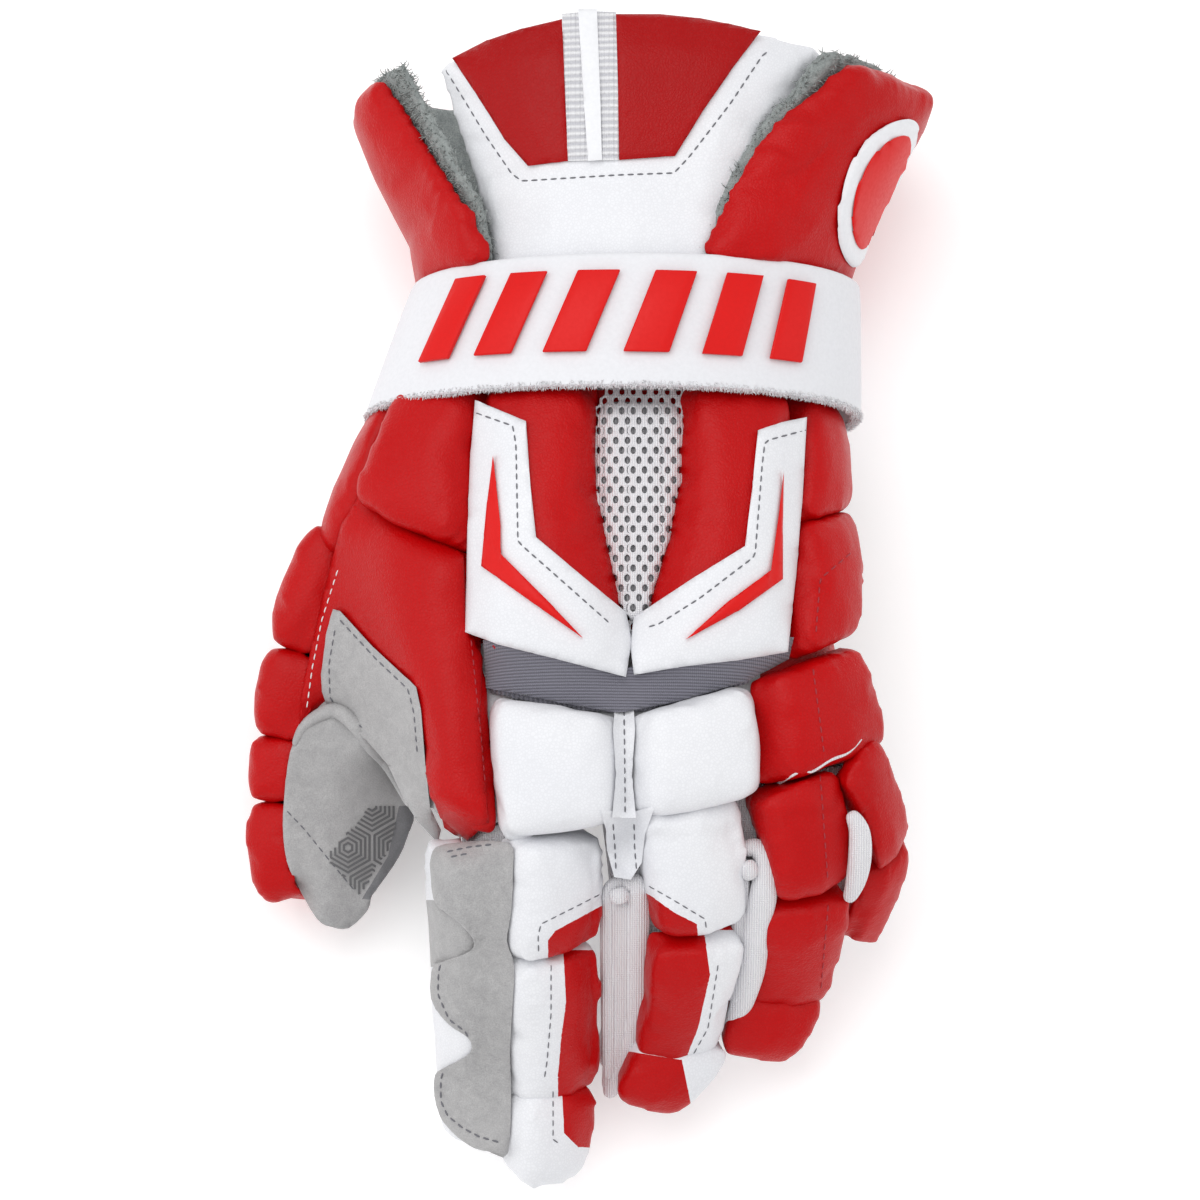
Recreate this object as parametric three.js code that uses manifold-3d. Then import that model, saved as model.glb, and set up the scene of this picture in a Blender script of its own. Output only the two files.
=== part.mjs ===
// A left-hand lacrosse glove, lying palm down with its fingers curled to the floor.
// Millimetres, +Z up, +Y towards the cuff. The hand goes in at the cuff and the palm faces the floor.
import * as THREE from "three";
import { mergeVertices } from "three/addons/utils/BufferGeometryUtils.js";
import Module from "manifold-3d";

const wasm = await Module();
wasm.setup();

// The leather bag that holds the hand, from inside the cuff to the knuckles.
const handLength = 156;
const handBreadth = 116;
const handDepth = 68;
const wristEnd = 98;
const bagWall = 2;

// The cuff, from the seam under the strap to its open end.
const cuffSeam = 64;
const cuffLength = 92;
const cuffBreadth = 138;
const cuffDepth = 78;

// The finger stalls, along their own bent lines.
const indexLength = 99;
const middleLength = 88;
const ringLength = 81;
const pinkyLength = 56;
const thumbLength = 134;
const stallBreadth = 26;
const stallDepth = 26;
const thumbBreadth = 37;
const thumbDepth = 25;
const stallWall = 1.8;

// Clearance between two pieces that are sewn or laid against each other, and a pad's extra lift off a curved skin.
const gap = 0.35;
const seat = 0.4;
// How far a facet may stray when tiny ones are merged.
const slack = 0.05;

const radians = THREE.MathUtils.degToRad;

// The value at t, from 0 to 1, on a smooth curve through evenly spaced values.
function smooth(values, t) {
  const last = values.length - 1;
  const place = t * last;
  const i = Math.min(Math.max(Math.floor(place), 0), last - 1);
  const f = place - i;
  const b = values[i];
  const c = values[i + 1];
  if (t < 0 || t > 1) return b + (c - b) * f;
  const a = values[Math.max(i - 1, 0)];
  const d = values[Math.min(i + 2, last)];
  const bend = (2 * a - 5 * b + 4 * c - d) * f * f;
  return 0.5 * (2 * b + (c - a) * f + bend + (3 * b - a - 3 * c + d) * f ** 3);
}

// An oval tube along a bent line. Each row holds the line's point, the oval's two directions and half sizes.
// An angle on it is in degrees from the oval's top, positive towards its side direction.
class Sleeve {
  constructor(rows, { squareness = 2, capFrom = 1 } = {}) {
    this.rows = rows;
    this.squareness = squareness;
    this.capFrom = capFrom;
  }
  vector(key, t) {
    const part = (axis) => smooth(this.rows.map((row) => row[key][axis]), t);
    return new THREE.Vector3(part("x"), part("y"), part("z"));
  }
  size(key, t) {
    const capShare = Math.max(t - this.capFrom, 0) / (1 - this.capFrom || 1);
    const closing = Math.sqrt(Math.max(1 - capShare ** 2, 0));
    return smooth(this.rows.map((row) => row[key]), t) * closing;
  }
  skin(t, angle) {
    const round = (value) => Math.sign(value) * Math.abs(value) ** (2 / this.squareness);
    const across = this.size("wide", t) * round(Math.sin(radians(angle)));
    const upward = this.size("high", t) * round(Math.cos(radians(angle)));
    return this.vector("centre", t)
      .addScaledVector(this.vector("side", t).normalize(), across)
      .addScaledVector(this.vector("up", t).normalize(), upward);
  }
  normal(t, angle) {
    const step = 0.004;
    const inside = Math.min(t, 1 - step);
    const along = this.skin(inside + step / 2, angle).sub(this.skin(inside - step / 2, angle));
    const round = this.skin(inside, angle + 1).sub(this.skin(inside, angle - 1));
    const out = along.cross(round).normalize();
    const away = this.skin(inside, angle).sub(this.vector("centre", inside));
    return out.dot(away) < 0 ? out.negate() : out;
  }
  lifted(t, angle, lift) {
    return this.skin(t, angle).addScaledVector(this.normal(t, angle), lift);
  }
}

// The hand bag's sections. Columns: side and wide are shares of handBreadth, height and high of handDepth,
// and yaw and tilt are degrees that turn the section towards the little finger.
const handRows = [
  { side: 0.099, height: 0.676, wide: 0.414, high: 0.42, yaw: 0, tilt: 0 },
  { side: 0.054, height: 0.676, wide: 0.46, high: 0.456, yaw: 0, tilt: 0 },
  { side: 0.022, height: 0.691, wide: 0.526, high: 0.463, yaw: 0, tilt: 0 },
  { side: 0.095, height: 0.735, wide: 0.5, high: 0.42, yaw: 5, tilt: -3 },
  { side: 0.135, height: 0.794, wide: 0.52, high: 0.29, yaw: 11, tilt: -6 },
];

function ovalRow(row, y, breadth, depth) {
  const side = new THREE.Vector3(1, Math.tan(radians(row.yaw ?? 0)), Math.tan(radians(row.tilt ?? 0)));
  const up = new THREE.Vector3(-Math.tan(radians(row.tilt ?? 0)), 0, 1);
  return {
    centre: new THREE.Vector3(row.side * breadth, y, row.height * depth),
    side: side.normalize(),
    up: up.normalize(),
    wide: row.wide * breadth,
    high: row.high * depth,
  };
}

const handSleeve = new Sleeve(
  handRows.map((row, i) =>
    ovalRow(row, wristEnd - (handLength * i) / (handRows.length - 1), handBreadth, handDepth),
  ),
  { squareness: 2.3 },
);

// The cuff's inner sections, from the seam to the open end. Shares of cuffBreadth and cuffDepth.
const cuffRows = [
  { side: 0.06, height: 0.59, wide: 0.388, high: 0.426 },
  { side: 0.09, height: 0.59, wide: 0.374, high: 0.436 },
  { side: 0.09, height: 0.59, wide: 0.428, high: 0.462 },
  { side: 0.094, height: 0.59, wide: 0.5, high: 0.5 },
];

const cuffSleeve = new Sleeve(
  cuffRows.map((row, i) =>
    ovalRow(row, cuffSeam + (cuffLength * i) / (cuffRows.length - 1), cuffBreadth, cuffDepth),
  ),
  { squareness: 2.2 },
);

// A digit's bent line, from its root. Each bone is a share of the length, pitched down and turned sideways in
// degrees, and the roll turns the back of the digit towards the little finger.
function stallRows(root, length, bones, breadth, depth, roll) {
  const point = root.clone();
  return [...bones, bones.at(-1)].map((bone, i) => {
    const before = bones[Math.max(i - 1, 0)];
    const heading = (yaw, pitch) =>
      new THREE.Vector3(
        Math.sin(radians(yaw)) * Math.cos(radians(pitch)),
        -Math.cos(radians(yaw)) * Math.cos(radians(pitch)),
        -Math.sin(radians(pitch)),
      );
    const yaw = (before.yaw + bone.yaw) / 2;
    const along = heading(yaw, (before.pitch + bone.pitch) / 2);
    const side = new THREE.Vector3(Math.cos(radians(yaw)), Math.sin(radians(yaw)), 0);
    side.applyAxisAngle(along, -radians(roll));
    const row = { centre: point.clone(), side, up: along.clone().cross(side) };
    point.addScaledVector(heading(bone.yaw, bone.pitch), bone.share * length);
    return { ...row, wide: (bone.size * breadth) / 2, high: (bone.size * depth) / 2 };
  });
}

// Where a digit leaves the hand bag: shares of the knuckle section's half breadth and half depth.
function knucklePoint(across, upward) {
  const row = handSleeve.rows.at(-1);
  return row.centre
    .clone()
    .addScaledVector(row.side, across * row.wide)
    .addScaledVector(row.up, upward * row.high)
    .addScaledVector(new THREE.Vector3(0, -1, 0), gap);
}

const digits = {
  index: {
    root: knucklePoint(-0.64, 0),
    length: indexLength,
    breadth: stallBreadth,
    depth: stallDepth,
    roll: 30,
    bones: [
      { share: 0.3, pitch: 27.6, yaw: -1, size: 1.04 },
      { share: 0.37, pitch: 41, yaw: 0, size: 1.08 },
      { share: 0.33, pitch: 16.7, yaw: 0, size: 1.04 },
    ],
  },
  middle: {
    root: knucklePoint(-0.01, 0),
    length: middleLength,
    breadth: stallBreadth,
    depth: stallDepth,
    roll: 22,
    bones: [
      { share: 0.33, pitch: 21, yaw: 6, size: 0.98 },
      { share: 0.42, pitch: 45, yaw: -2, size: 1 },
      { share: 0.25, pitch: 18, yaw: -20, size: 0.96 },
    ],
  },
  ring: {
    root: knucklePoint(0.42, 0),
    length: ringLength,
    breadth: stallBreadth,
    depth: stallDepth,
    roll: 18,
    bones: [
      { share: 0.29, pitch: 23, yaw: 18, size: 0.9 },
      { share: 0.405, pitch: 49, yaw: -4, size: 0.92 },
      { share: 0.305, pitch: 17, yaw: -14, size: 0.9 },
    ],
  },
  pinky: {
    root: knucklePoint(0.8, -0.02),
    length: pinkyLength,
    breadth: stallBreadth,
    depth: stallDepth,
    roll: 20,
    bones: [
      { share: 0.38, pitch: 40, yaw: 32, size: 0.78 },
      { share: 0.3, pitch: 54, yaw: 0, size: 0.82 },
      { share: 0.32, pitch: 29, yaw: -23, size: 0.8 },
    ],
  },
  thumb: {
    root: new THREE.Vector3(-0.31 * handBreadth, wristEnd - 0.37 * handLength, 0.62 * handDepth),
    length: thumbLength,
    breadth: thumbBreadth,
    depth: thumbDepth,
    roll: -140,
    bones: [
      { share: 0.241, pitch: 12, yaw: -35, size: 0.9 },
      { share: 0.229, pitch: 11, yaw: -21, size: 0.96 },
      { share: 0.246, pitch: 10, yaw: -10, size: 1 },
      { share: 0.287, pitch: 8, yaw: -2, size: 0.92 },
    ],
  },
};

const digitCapShare = 0.86;
for (const digit of Object.values(digits)) {
  digit.sleeve = new Sleeve(
    stallRows(digit.root, digit.length, digit.bones, digit.breadth, digit.depth, digit.roll),
    { squareness: 2.2, capFrom: digitCapShare },
  );
}

// Solids

// Rows with named columns, from a compact table.
function table(columns, rows) {
  return rows.map((row) => Object.fromEntries(columns.map((name, i) => [name, row[i]])));
}

// A closed body from its corner points and triangles, turned right side out.
function body(points, triangles) {
  const make = (faces) => {
    const geometry = new THREE.BufferGeometry();
    geometry.setAttribute("position", new THREE.Float32BufferAttribute(points.flatMap((p) => p.toArray()), 3));
    geometry.setIndex(faces.flat());
    const merged = mergeVertices(geometry, 1e-4);
    const mesh = new wasm.Mesh({
      numProp: 3,
      vertProperties: new Float32Array(merged.attributes.position.array),
      triVerts: new Uint32Array(merged.index.array),
    });
    return wasm.Manifold.ofMesh(mesh);
  };
  const made = make(triangles);
  return made.volume() < 0 ? make(triangles.map(([a, b, c]) => [a, c, b])) : made;
}

// A closed body from rings of points, with a flat fan over each end.
function ringBody(rings) {
  const round = rings[0].length;
  const middle = (ring) => ring.reduce((sum, p) => sum.add(p), new THREE.Vector3()).divideScalar(round);
  const points = [...rings.flat(), middle(rings[0]), middle(rings.at(-1))];
  const triangles = [];
  for (let i = 0; i < round; i += 1) {
    const next = (i + 1) % round;
    for (let k = 0; k + 1 < rings.length; k += 1) {
      const a = k * round;
      triangles.push([a + i, a + next, a + round + next], [a + i, a + round + next, a + round + i]);
    }
    const last = (rings.length - 1) * round;
    triangles.push([next, i, last + round], [last + i, last + next, last + round + 1]);
  }
  return body(points, triangles);
}

// A sleeve as a closed body between two shares of its line, smaller by inset or larger by a negative inset.
function sleeveBody(sleeve, { from = 0, to = 1, inset = 0, steps = 8, round = 24 } = {}) {
  const capped = sleeve.capFrom < 1;
  const straightEnd = capped ? sleeve.capFrom : to;
  const places = [];
  for (let i = 0; i <= steps; i += 1) places.push([from + ((straightEnd - from) * i) / steps, 1]);
  if (capped) {
    for (const turn of [30, 55, 78]) {
      const share = Math.sin(radians(turn));
      places.push([straightEnd + (to - straightEnd) * share, Math.cos(radians(turn))]);
    }
  }
  const open = new Sleeve(sleeve.rows, { squareness: sleeve.squareness });
  const rings = places.map(([t, closing]) => {
    const centre = open.vector("centre", t);
    const across = (open.size("wide", t) - inset) * closing;
    const upward = (open.size("high", t) - inset) * closing;
    return Array.from({ length: round }, (_, i) => {
      const skin = open.skin(t, (360 * i) / round).sub(centre);
      const side = open.vector("side", t).normalize();
      const up = open.vector("up", t).normalize();
      return centre
        .clone()
        .addScaledVector(side, (skin.dot(side) / open.size("wide", t)) * across)
        .addScaledVector(up, (skin.dot(up) / open.size("high", t)) * upward);
    });
  });
  return ringBody(rings);
}

// How full a padded panel is across its width: nothing at the edges, full over most of the middle.
const fullness = 4.5;
const padFill = (share) => (1 - Math.abs(2 * share - 1) ** fullness) ** (1 / fullness);

// Shares from 0 to 1, closer together at both ends.
const edgeSpaced = (count) =>
  Array.from({ length: count + 1 }, (_, i) => 0.5 - 0.5 * Math.sin(Math.PI * (0.5 - i / count)));

// A padded panel on a sleeve between two lines of points. Each row holds one point of either line, as a share
// along the sleeve and an angle: at and angle, farAt and farAngle.
class Panel {
  constructor(sleeve, rows, { thick, rim = 1.2, square = 0.2, flat = 0.3, base = () => seat }) {
    Object.assign(this, { sleeve, rows, thick, rim, square, flat, base });
    const [t, angle] = this.place(0.5, 0.5);
    this.middle = sleeve.skin(t, angle);
    this.facing = sleeve.normal(t, angle);
  }
  line(key, u) {
    return smooth(this.rows.map((row) => row[key]), u);
  }
  place(u, v) {
    const at = this.line("at", u) * (1 - v) + this.line("farAt", u) * v;
    const angle = this.line("angle", u) * (1 - v) + this.line("farAngle", u) * v;
    return [at, angle];
  }
  direction(t, angle) {
    return this.sleeve.normal(t, angle).lerp(this.facing, this.square).normalize();
  }
  // The point over the sleeve at shares u and v of the panel, at a height above its base.
  over(u, v, height) {
    const [t, angle] = this.place(u, v);
    const skin = this.sleeve.skin(t, angle);
    return skin.addScaledVector(this.direction(t, angle), this.base(t, angle) + gap + height);
  }
  top(u, v) {
    const [t, angle] = this.place(u, v);
    const drop = Math.max(this.middle.clone().sub(this.sleeve.skin(t, angle)).dot(this.facing), 0);
    const fill = padFill(u) * padFill(v);
    const thick = this.rows[0].thick ? this.line("thick", u) : this.thick;
    return this.rim + (thick - this.rim + this.flat * Math.min(drop, thick * 1.5)) * fill;
  }
  // The panel's shares at a place on the sleeve.
  find(t, angle) {
    let [u, v] = [0.5, 0.5];
    for (let pass = 0; pass < 12; pass += 1) {
      const step = 0.01;
      const [at, turn] = this.place(u, v);
      const [atU, turnU] = this.place(u + step, v);
      const [atV, turnV] = this.place(u, v + step);
      const [a, b, c, d] = [atU - at, atV - at, turnU - turn, turnV - turn].map((value) => value / step);
      const scale = a * d - b * c || 1e-9;
      u = Math.min(Math.max(u + (d * (t - at) - b * (angle - turn)) / scale, 0), 1);
      v = Math.min(Math.max(v + (a * (angle - turn) - c * (t - at)) / scale, 0), 1);
    }
    return [u, v];
  }
  // The body, or a body enlarged by grow on every side to cut its neighbours with.
  body({ along = 6, across = 4, grow = 0, spread = 0 } = {}) {
    const us = edgeSpaced(along);
    const vs = edgeSpaced(across);
    const points = [];
    const wider = (share) => share + (share - 0.5) * spread;
    for (const up of [false, true]) {
      for (const u of us) {
        for (const v of vs) {
          const height = up ? this.top(u, v) + grow : -grow;
          points.push(this.over(wider(u), wider(v), height));
        }
      }
    }
    return gridBody(points, along, across);
  }
}

// A closed body from a lower and an upper grid of points with walls between their edges.
function gridBody(points, along, across) {
  const place = (i, j, up) => (up ? (along + 1) * (across + 1) : 0) + i * (across + 1) + j;
  const triangles = [];
  const face = (a, b, c, d) => triangles.push([a, b, c], [a, c, d]);
  for (let i = 0; i < along; i += 1) {
    for (let j = 0; j < across; j += 1) {
      face(place(i, j, 1), place(i + 1, j, 1), place(i + 1, j + 1, 1), place(i, j + 1, 1));
      face(place(i, j, 0), place(i, j + 1, 0), place(i + 1, j + 1, 0), place(i + 1, j, 0));
    }
  }
  for (let i = 0; i < along; i += 1) {
    face(place(i, 0, 0), place(i + 1, 0, 0), place(i + 1, 0, 1), place(i, 0, 1));
    face(place(i + 1, across, 0), place(i, across, 0), place(i, across, 1), place(i + 1, across, 1));
  }
  for (let j = 0; j < across; j += 1) {
    face(place(0, j + 1, 0), place(0, j, 0), place(0, j, 1), place(0, j + 1, 1));
    face(place(along, j, 0), place(along, j + 1, 0), place(along, j + 1, 1), place(along, j, 1));
  }
  return body(points, triangles);
}

const cuffCounts = { along: 6, across: 9 };

// A thin panel laid over the top of another: the part of a shell over the host that stands in a column.
class Overlay {
  constructor(host, rows, { thick, raise = 0, along = 6, across = 1 }) {
    Object.assign(this, { host, thick, raise, along, across });
    this.shape = new Panel(host.sleeve, rows, { thick });
  }
  body({ grow = 0 } = {}) {
    const points = [];
    for (const height of [-3.5, 4]) {
      for (let i = 0; i <= this.along; i += 1) {
        for (let j = 0; j <= this.across; j += 1) {
          const [t, angle] = this.shape.place(i / this.along, j / this.across);
          const lift = this.host.base(t, angle) + this.host.top(...this.host.find(t, angle)) + height;
          points.push(this.host.sleeve.skin(t, angle).addScaledVector(this.host.direction(t, angle), lift));
        }
      }
    }
    const low = gap + this.raise - grow;
    const counts = this.host.sleeve === cuffSleeve ? cuffCounts : {};
    const outer = this.host.body({ ...counts, grow: low + this.thick + 2 * grow });
    const shell = outer.subtract(this.host.body({ ...counts, grow: low }));
    return carve(gridBody(points, this.along, this.across).intersect(shell));
  }
}

// The largest body left of a shape after others are cut from it.
function carve(shape, ...others) {
  const left = others.reduce((rest, other) => rest.subtract(other), shape).simplify(slack);
  const pieces = left.decompose();
  return pieces.reduce((best, piece) => (piece.volume() > best.volume() ? piece : best), pieces[0]);
}

// What is left above the floor.
const aboveFloor = (shape) => shape.trimByPlane([0, 0, 1], 0);

// Pieces

const nodes = {};
const beside = ["at", "angle", "farAt", "farAngle"];
const puffed = [...beside, "thick"];

// The hand bag: one thin leather tube, open at the wrist, with a hole for every digit.
const bagAround = (clearance) =>
  sleeveBody(handSleeve, { from: -0.01, to: 1 + clearance / handLength, inset: -clearance, steps: 7, round: 20 });
const bagHollow = sleeveBody(handSleeve, {
  from: -0.05,
  to: 1 - bagWall / handLength,
  inset: bagWall,
  steps: 5,
  round: 16,
});
const digitHollows = Object.fromEntries(
  Object.entries(digits).map(([name, { sleeve, length }]) => [
    name,
    sleeveBody(sleeve, { from: -0.12, to: 1 - stallWall / length, inset: stallWall, steps: 4, round: 10 }),
  ]),
);
nodes.hand_bag = carve(
  sleeveBody(handSleeve, { steps: 7, round: 20 }),
  bagHollow,
  ...Object.values(digitHollows),
);

// The stalls, sewn to the bag's front, each clear of the one before it.
const digitAround = (name, clearance) =>
  sleeveBody(digits[name].sleeve, { from: -0.14, inset: -clearance, steps: 5, round: 12 });
for (const name of Object.keys(digits)) {
  nodes[`${name}_stall`] = carve(digitAround(name, 0).subtract(digitHollows[name]), bagAround(gap));
}

// Hand pads. The pads under the strap start clear of it.
const padThick = 12.5;
const sideThick = 11;
const knuckleThick = 12.5;
const panels = {
  back_pad_left: new Panel(
    handSleeve,
    table(beside, [
      [0.318, -32, 0.318, -2.6],
      [0.53, -27.5, 0.5, -0.9],
      [0.655, -35.5, 0.62, -0.9],
      [0.735, -40, 0.785, -3],
    ]),
    { thick: padThick },
  ),
  back_pad_right: new Panel(
    handSleeve,
    table(beside, [
      [0.318, 18, 0.318, 54],
      [0.5, 17.2, 0.49, 50],
      [0.63, 7.8, 0.665, 42],
      [0.787, -1.2, 0.78, 37],
    ]),
    { thick: padThick },
  ),
  mesh_insert: new Panel(
    handSleeve,
    table(beside, [
      [0.318, -1.2, 0.318, 16.6],
      [0.5, 0.6, 0.5, 15.9],
      [0.62, 0.6, 0.625, 6.4],
      [0.695, -0.3, 0.695, 2],
    ]),
    { thick: 7 },
  ),
  flex_band: new Panel(
    handSleeve,
    table(beside, [
      [0.744, -40.5, 0.79, -42],
      [0.78, -22, 0.82, -24],
      [0.8, -3.5, 0.845, -4.5],
      [0.798, 15, 0.834, 13],
      [0.793, 29, 0.812, 27.5],
    ]),
    { thick: 2.4, rim: 1.2 },
  ),
  wrist_pad_left: new Panel(
    handSleeve,
    table(beside, [
      [0.318, -61, 0.318, -34],
      [0.4, -61, 0.43, -31.5],
      [0.47, -62, 0.575, -32.5],
    ]),
    { thick: sideThick },
  ),
  side_roll_left: new Panel(
    handSleeve,
    table(beside, [
      [0.318, -107, 0.318, -63.5],
      [0.4, -108, 0.4, -64],
      [0.48, -108, 0.475, -66],
      [0.56, -110, 0.53, -80],
    ]),
    { thick: sideThick },
  ),
  hand_panel_left: new Panel(
    handSleeve,
    table(beside, [
      [0.49, -63.5, 0.59, -34],
      [0.6, -88, 0.66, -39],
      [0.69, -83, 0.73, -43],
      [0.79, -72, 0.82, -44.5],
      [0.95, -67, 1.02, -45],
    ]),
    { thick: sideThick },
  ),
  side_pad_upper: new Panel(
    handSleeve,
    table(beside, [
      [0.318, 56.5, 0.318, 92],
      [0.42, 54.5, 0.4, 92],
      [0.52, 51.5, 0.455, 90],
    ]),
    { thick: sideThick },
  ),
  side_pad_lower: new Panel(
    handSleeve,
    table(beside, [
      [0.535, 51, 0.475, 90],
      [0.66, 45, 0.6, 86],
      [0.785, 39.5, 0.735, 71],
    ]),
    { thick: sideThick },
  ),
  knuckle_pad_index: new Panel(
    handSleeve,
    table(beside, [
      [0.808, -41.5, 0.856, -6.6],
      [0.92, -42, 0.94, -7.4],
      [1.03, -41, 1.035, -8.6],
    ]),
    { thick: knuckleThick },
  ),
  knuckle_pad_middle: new Panel(
    handSleeve,
    table(beside, [
      [0.86, -3.4, 0.83, 25],
      [0.95, -4, 0.93, 24.4],
      [1.04, -4.4, 1.03, 23],
    ]),
    { thick: knuckleThick },
  ),
  knuckle_pad_ring: new Panel(
    handSleeve,
    table(beside, [
      [0.824, 27, 0.766, 74],
      [0.93, 26.4, 0.85, 84],
      [1.025, 25.2, 0.935, 88],
    ]),
    { thick: sideThick - 1.5 },
  ),
};

// Finger and thumb rolls, in the order of their digit's line.
const roll = (digit, from, to, thick, { left = -64, right = 64, square = 0.6 } = {}) =>
  new Panel(digits[digit].sleeve, table(beside, [[from, left, from, right], [to, left, to, right]]), {
    thick,
    square,
    flat: 0.5,
    base: () => rollSeat,
  });
const rollThick = 11;
const rollSeat = 0.85;
const indexSeam = -40;
Object.assign(panels, {
  index_roll_1: roll("index", -0.02, 0.322, rollThick, { left: indexSeam }),
  index_roll_2: roll("index", 0.337, 0.765, rollThick, { left: indexSeam }),
  index_roll_3: roll("index", 0.78, 0.968, rollThick - 1, { left: indexSeam }),
  middle_roll_1: roll("middle", -0.04, 0.335, rollThick, { left: -60, right: 54 }),
  middle_roll_2: roll("middle", 0.35, 0.7, rollThick, { left: -60, right: 54 }),
  middle_roll_3: roll("middle", 0.715, 0.965, rollThick - 1, { left: -60, right: 54 }),
  ring_roll_1: roll("ring", -0.04, 0.345, rollThick, { left: -54 }),
  ring_roll_2: roll("ring", 0.36, 0.725, rollThick, { left: -54 }),
  ring_roll_3: roll("ring", 0.745, 0.96, rollThick - 1, { left: -54 }),
  pinky_roll_1: roll("pinky", -0.14, 0.33, rollThick - 2),
  pinky_roll_2: roll("pinky", 0.345, 0.86, rollThick - 2),
  thumb_roll_1: roll("thumb", 0.27, 0.51, 9, { left: -45, right: 112, square: 0.35 }),
  thumb_roll_2: roll("thumb", 0.525, 0.685, 9, { left: -50, right: 112, square: 0.35 }),
  thumb_roll_3: roll("thumb", 0.7, 0.8, 9, { left: -50, right: 104, square: 0.35 }),
  thumb_roll_4: roll("thumb", 0.815, 0.95, 8.5, { left: -50, right: 96, square: 0.35 }),
  index_side_pad: roll("index", 0.03, 0.93, 7, { left: -132, right: indexSeam - 4, square: 0.2 }),
});

// The cuff. The guard arches over the back of the wrist between the two flaps.
const guardThick = 6;
const liningThick = 2.5;
panels.wrist_guard = new Panel(
  cuffSleeve,
  table(beside, [
    [0.02, -44, 0.885, -54],
    [0.02, -22, 0.965, -28],
    [0.02, 0, 1, -4],
    [0.02, 16, 0.985, 22],
    [0.02, 32, 0.93, 47],
  ]),
  { thick: guardThick, square: 0, flat: 0, rim: 2 },
);

// How far the guard holds a flap off the cuff: fully over the guard, nothing past its edge.
function overGuard(t, angle, edge) {
  const past = Math.min(Math.max((Math.abs(angle) - edge) / 12, 0), 1);
  return (guardThick + gap) * (1 - past * past * (3 - 2 * past));
}
// How far the flaps lean outward at the open end.
const mouthFlare = { left: 8, right: 7 };
const flare = (side, t, angle) => mouthFlare[side] * Math.max(t, 0) ** 2 * Math.sin(radians(Math.min(Math.abs(angle), 180))) ** 2;
const overLeft = (t, angle) => overGuard(t, angle, 45 + 10 * t) + flare("left", t, angle);
const overRight = (t, angle) => overGuard(t, angle, 33 + 15 * t) + flare("right", t, angle);
const flapOptions = { square: 0, flat: 0 };
panels.lining_left = new Panel(
  cuffSleeve,
  table(beside, [
    [0.02, -176, 0.02, -35],
    [0.32, -176, 0.32, -40.5],
    [0.62, -176, 0.62, -48],
    [0.94, -176, 0.925, -62],
  ]),
  { ...flapOptions, thick: liningThick, base: overLeft },
);
panels.lining_right = new Panel(
  cuffSleeve,
  table(beside, [
    [0.02, 11, 0.02, 178],
    [0.32, 15.5, 0.32, 178],
    [0.62, 26, 0.62, 178],
    [0.93, 43, 0.94, 178],
  ]),
  { ...flapOptions, thick: liningThick, base: overRight },
);
const overLining = (over) => (t, angle) => over(t, angle) + liningThick + gap;
panels.cuff_flap_left = new Panel(
  cuffSleeve,
  table(puffed, [
    [0.02, -174, 0.02, -34, 5],
    [0.32, -174, 0.32, -40.5, 6],
    [0.62, -174, 0.6, -56, 8],
    [0.91, -174, 0.89, -73, 9.5],
  ]),
  { ...flapOptions, base: overLining(overLeft) },
);
panels.cuff_flap_right = new Panel(
  cuffSleeve,
  table(puffed, [
    [0.02, 12, 0.02, 176, 5],
    [0.32, 18.5, 0.32, 176, 6],
    [0.62, 32, 0.62, 176, 8],
    [0.89, 50, 0.91, 176, 9.5],
  ]),
  { ...flapOptions, base: overLining(overRight) },
);

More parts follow.
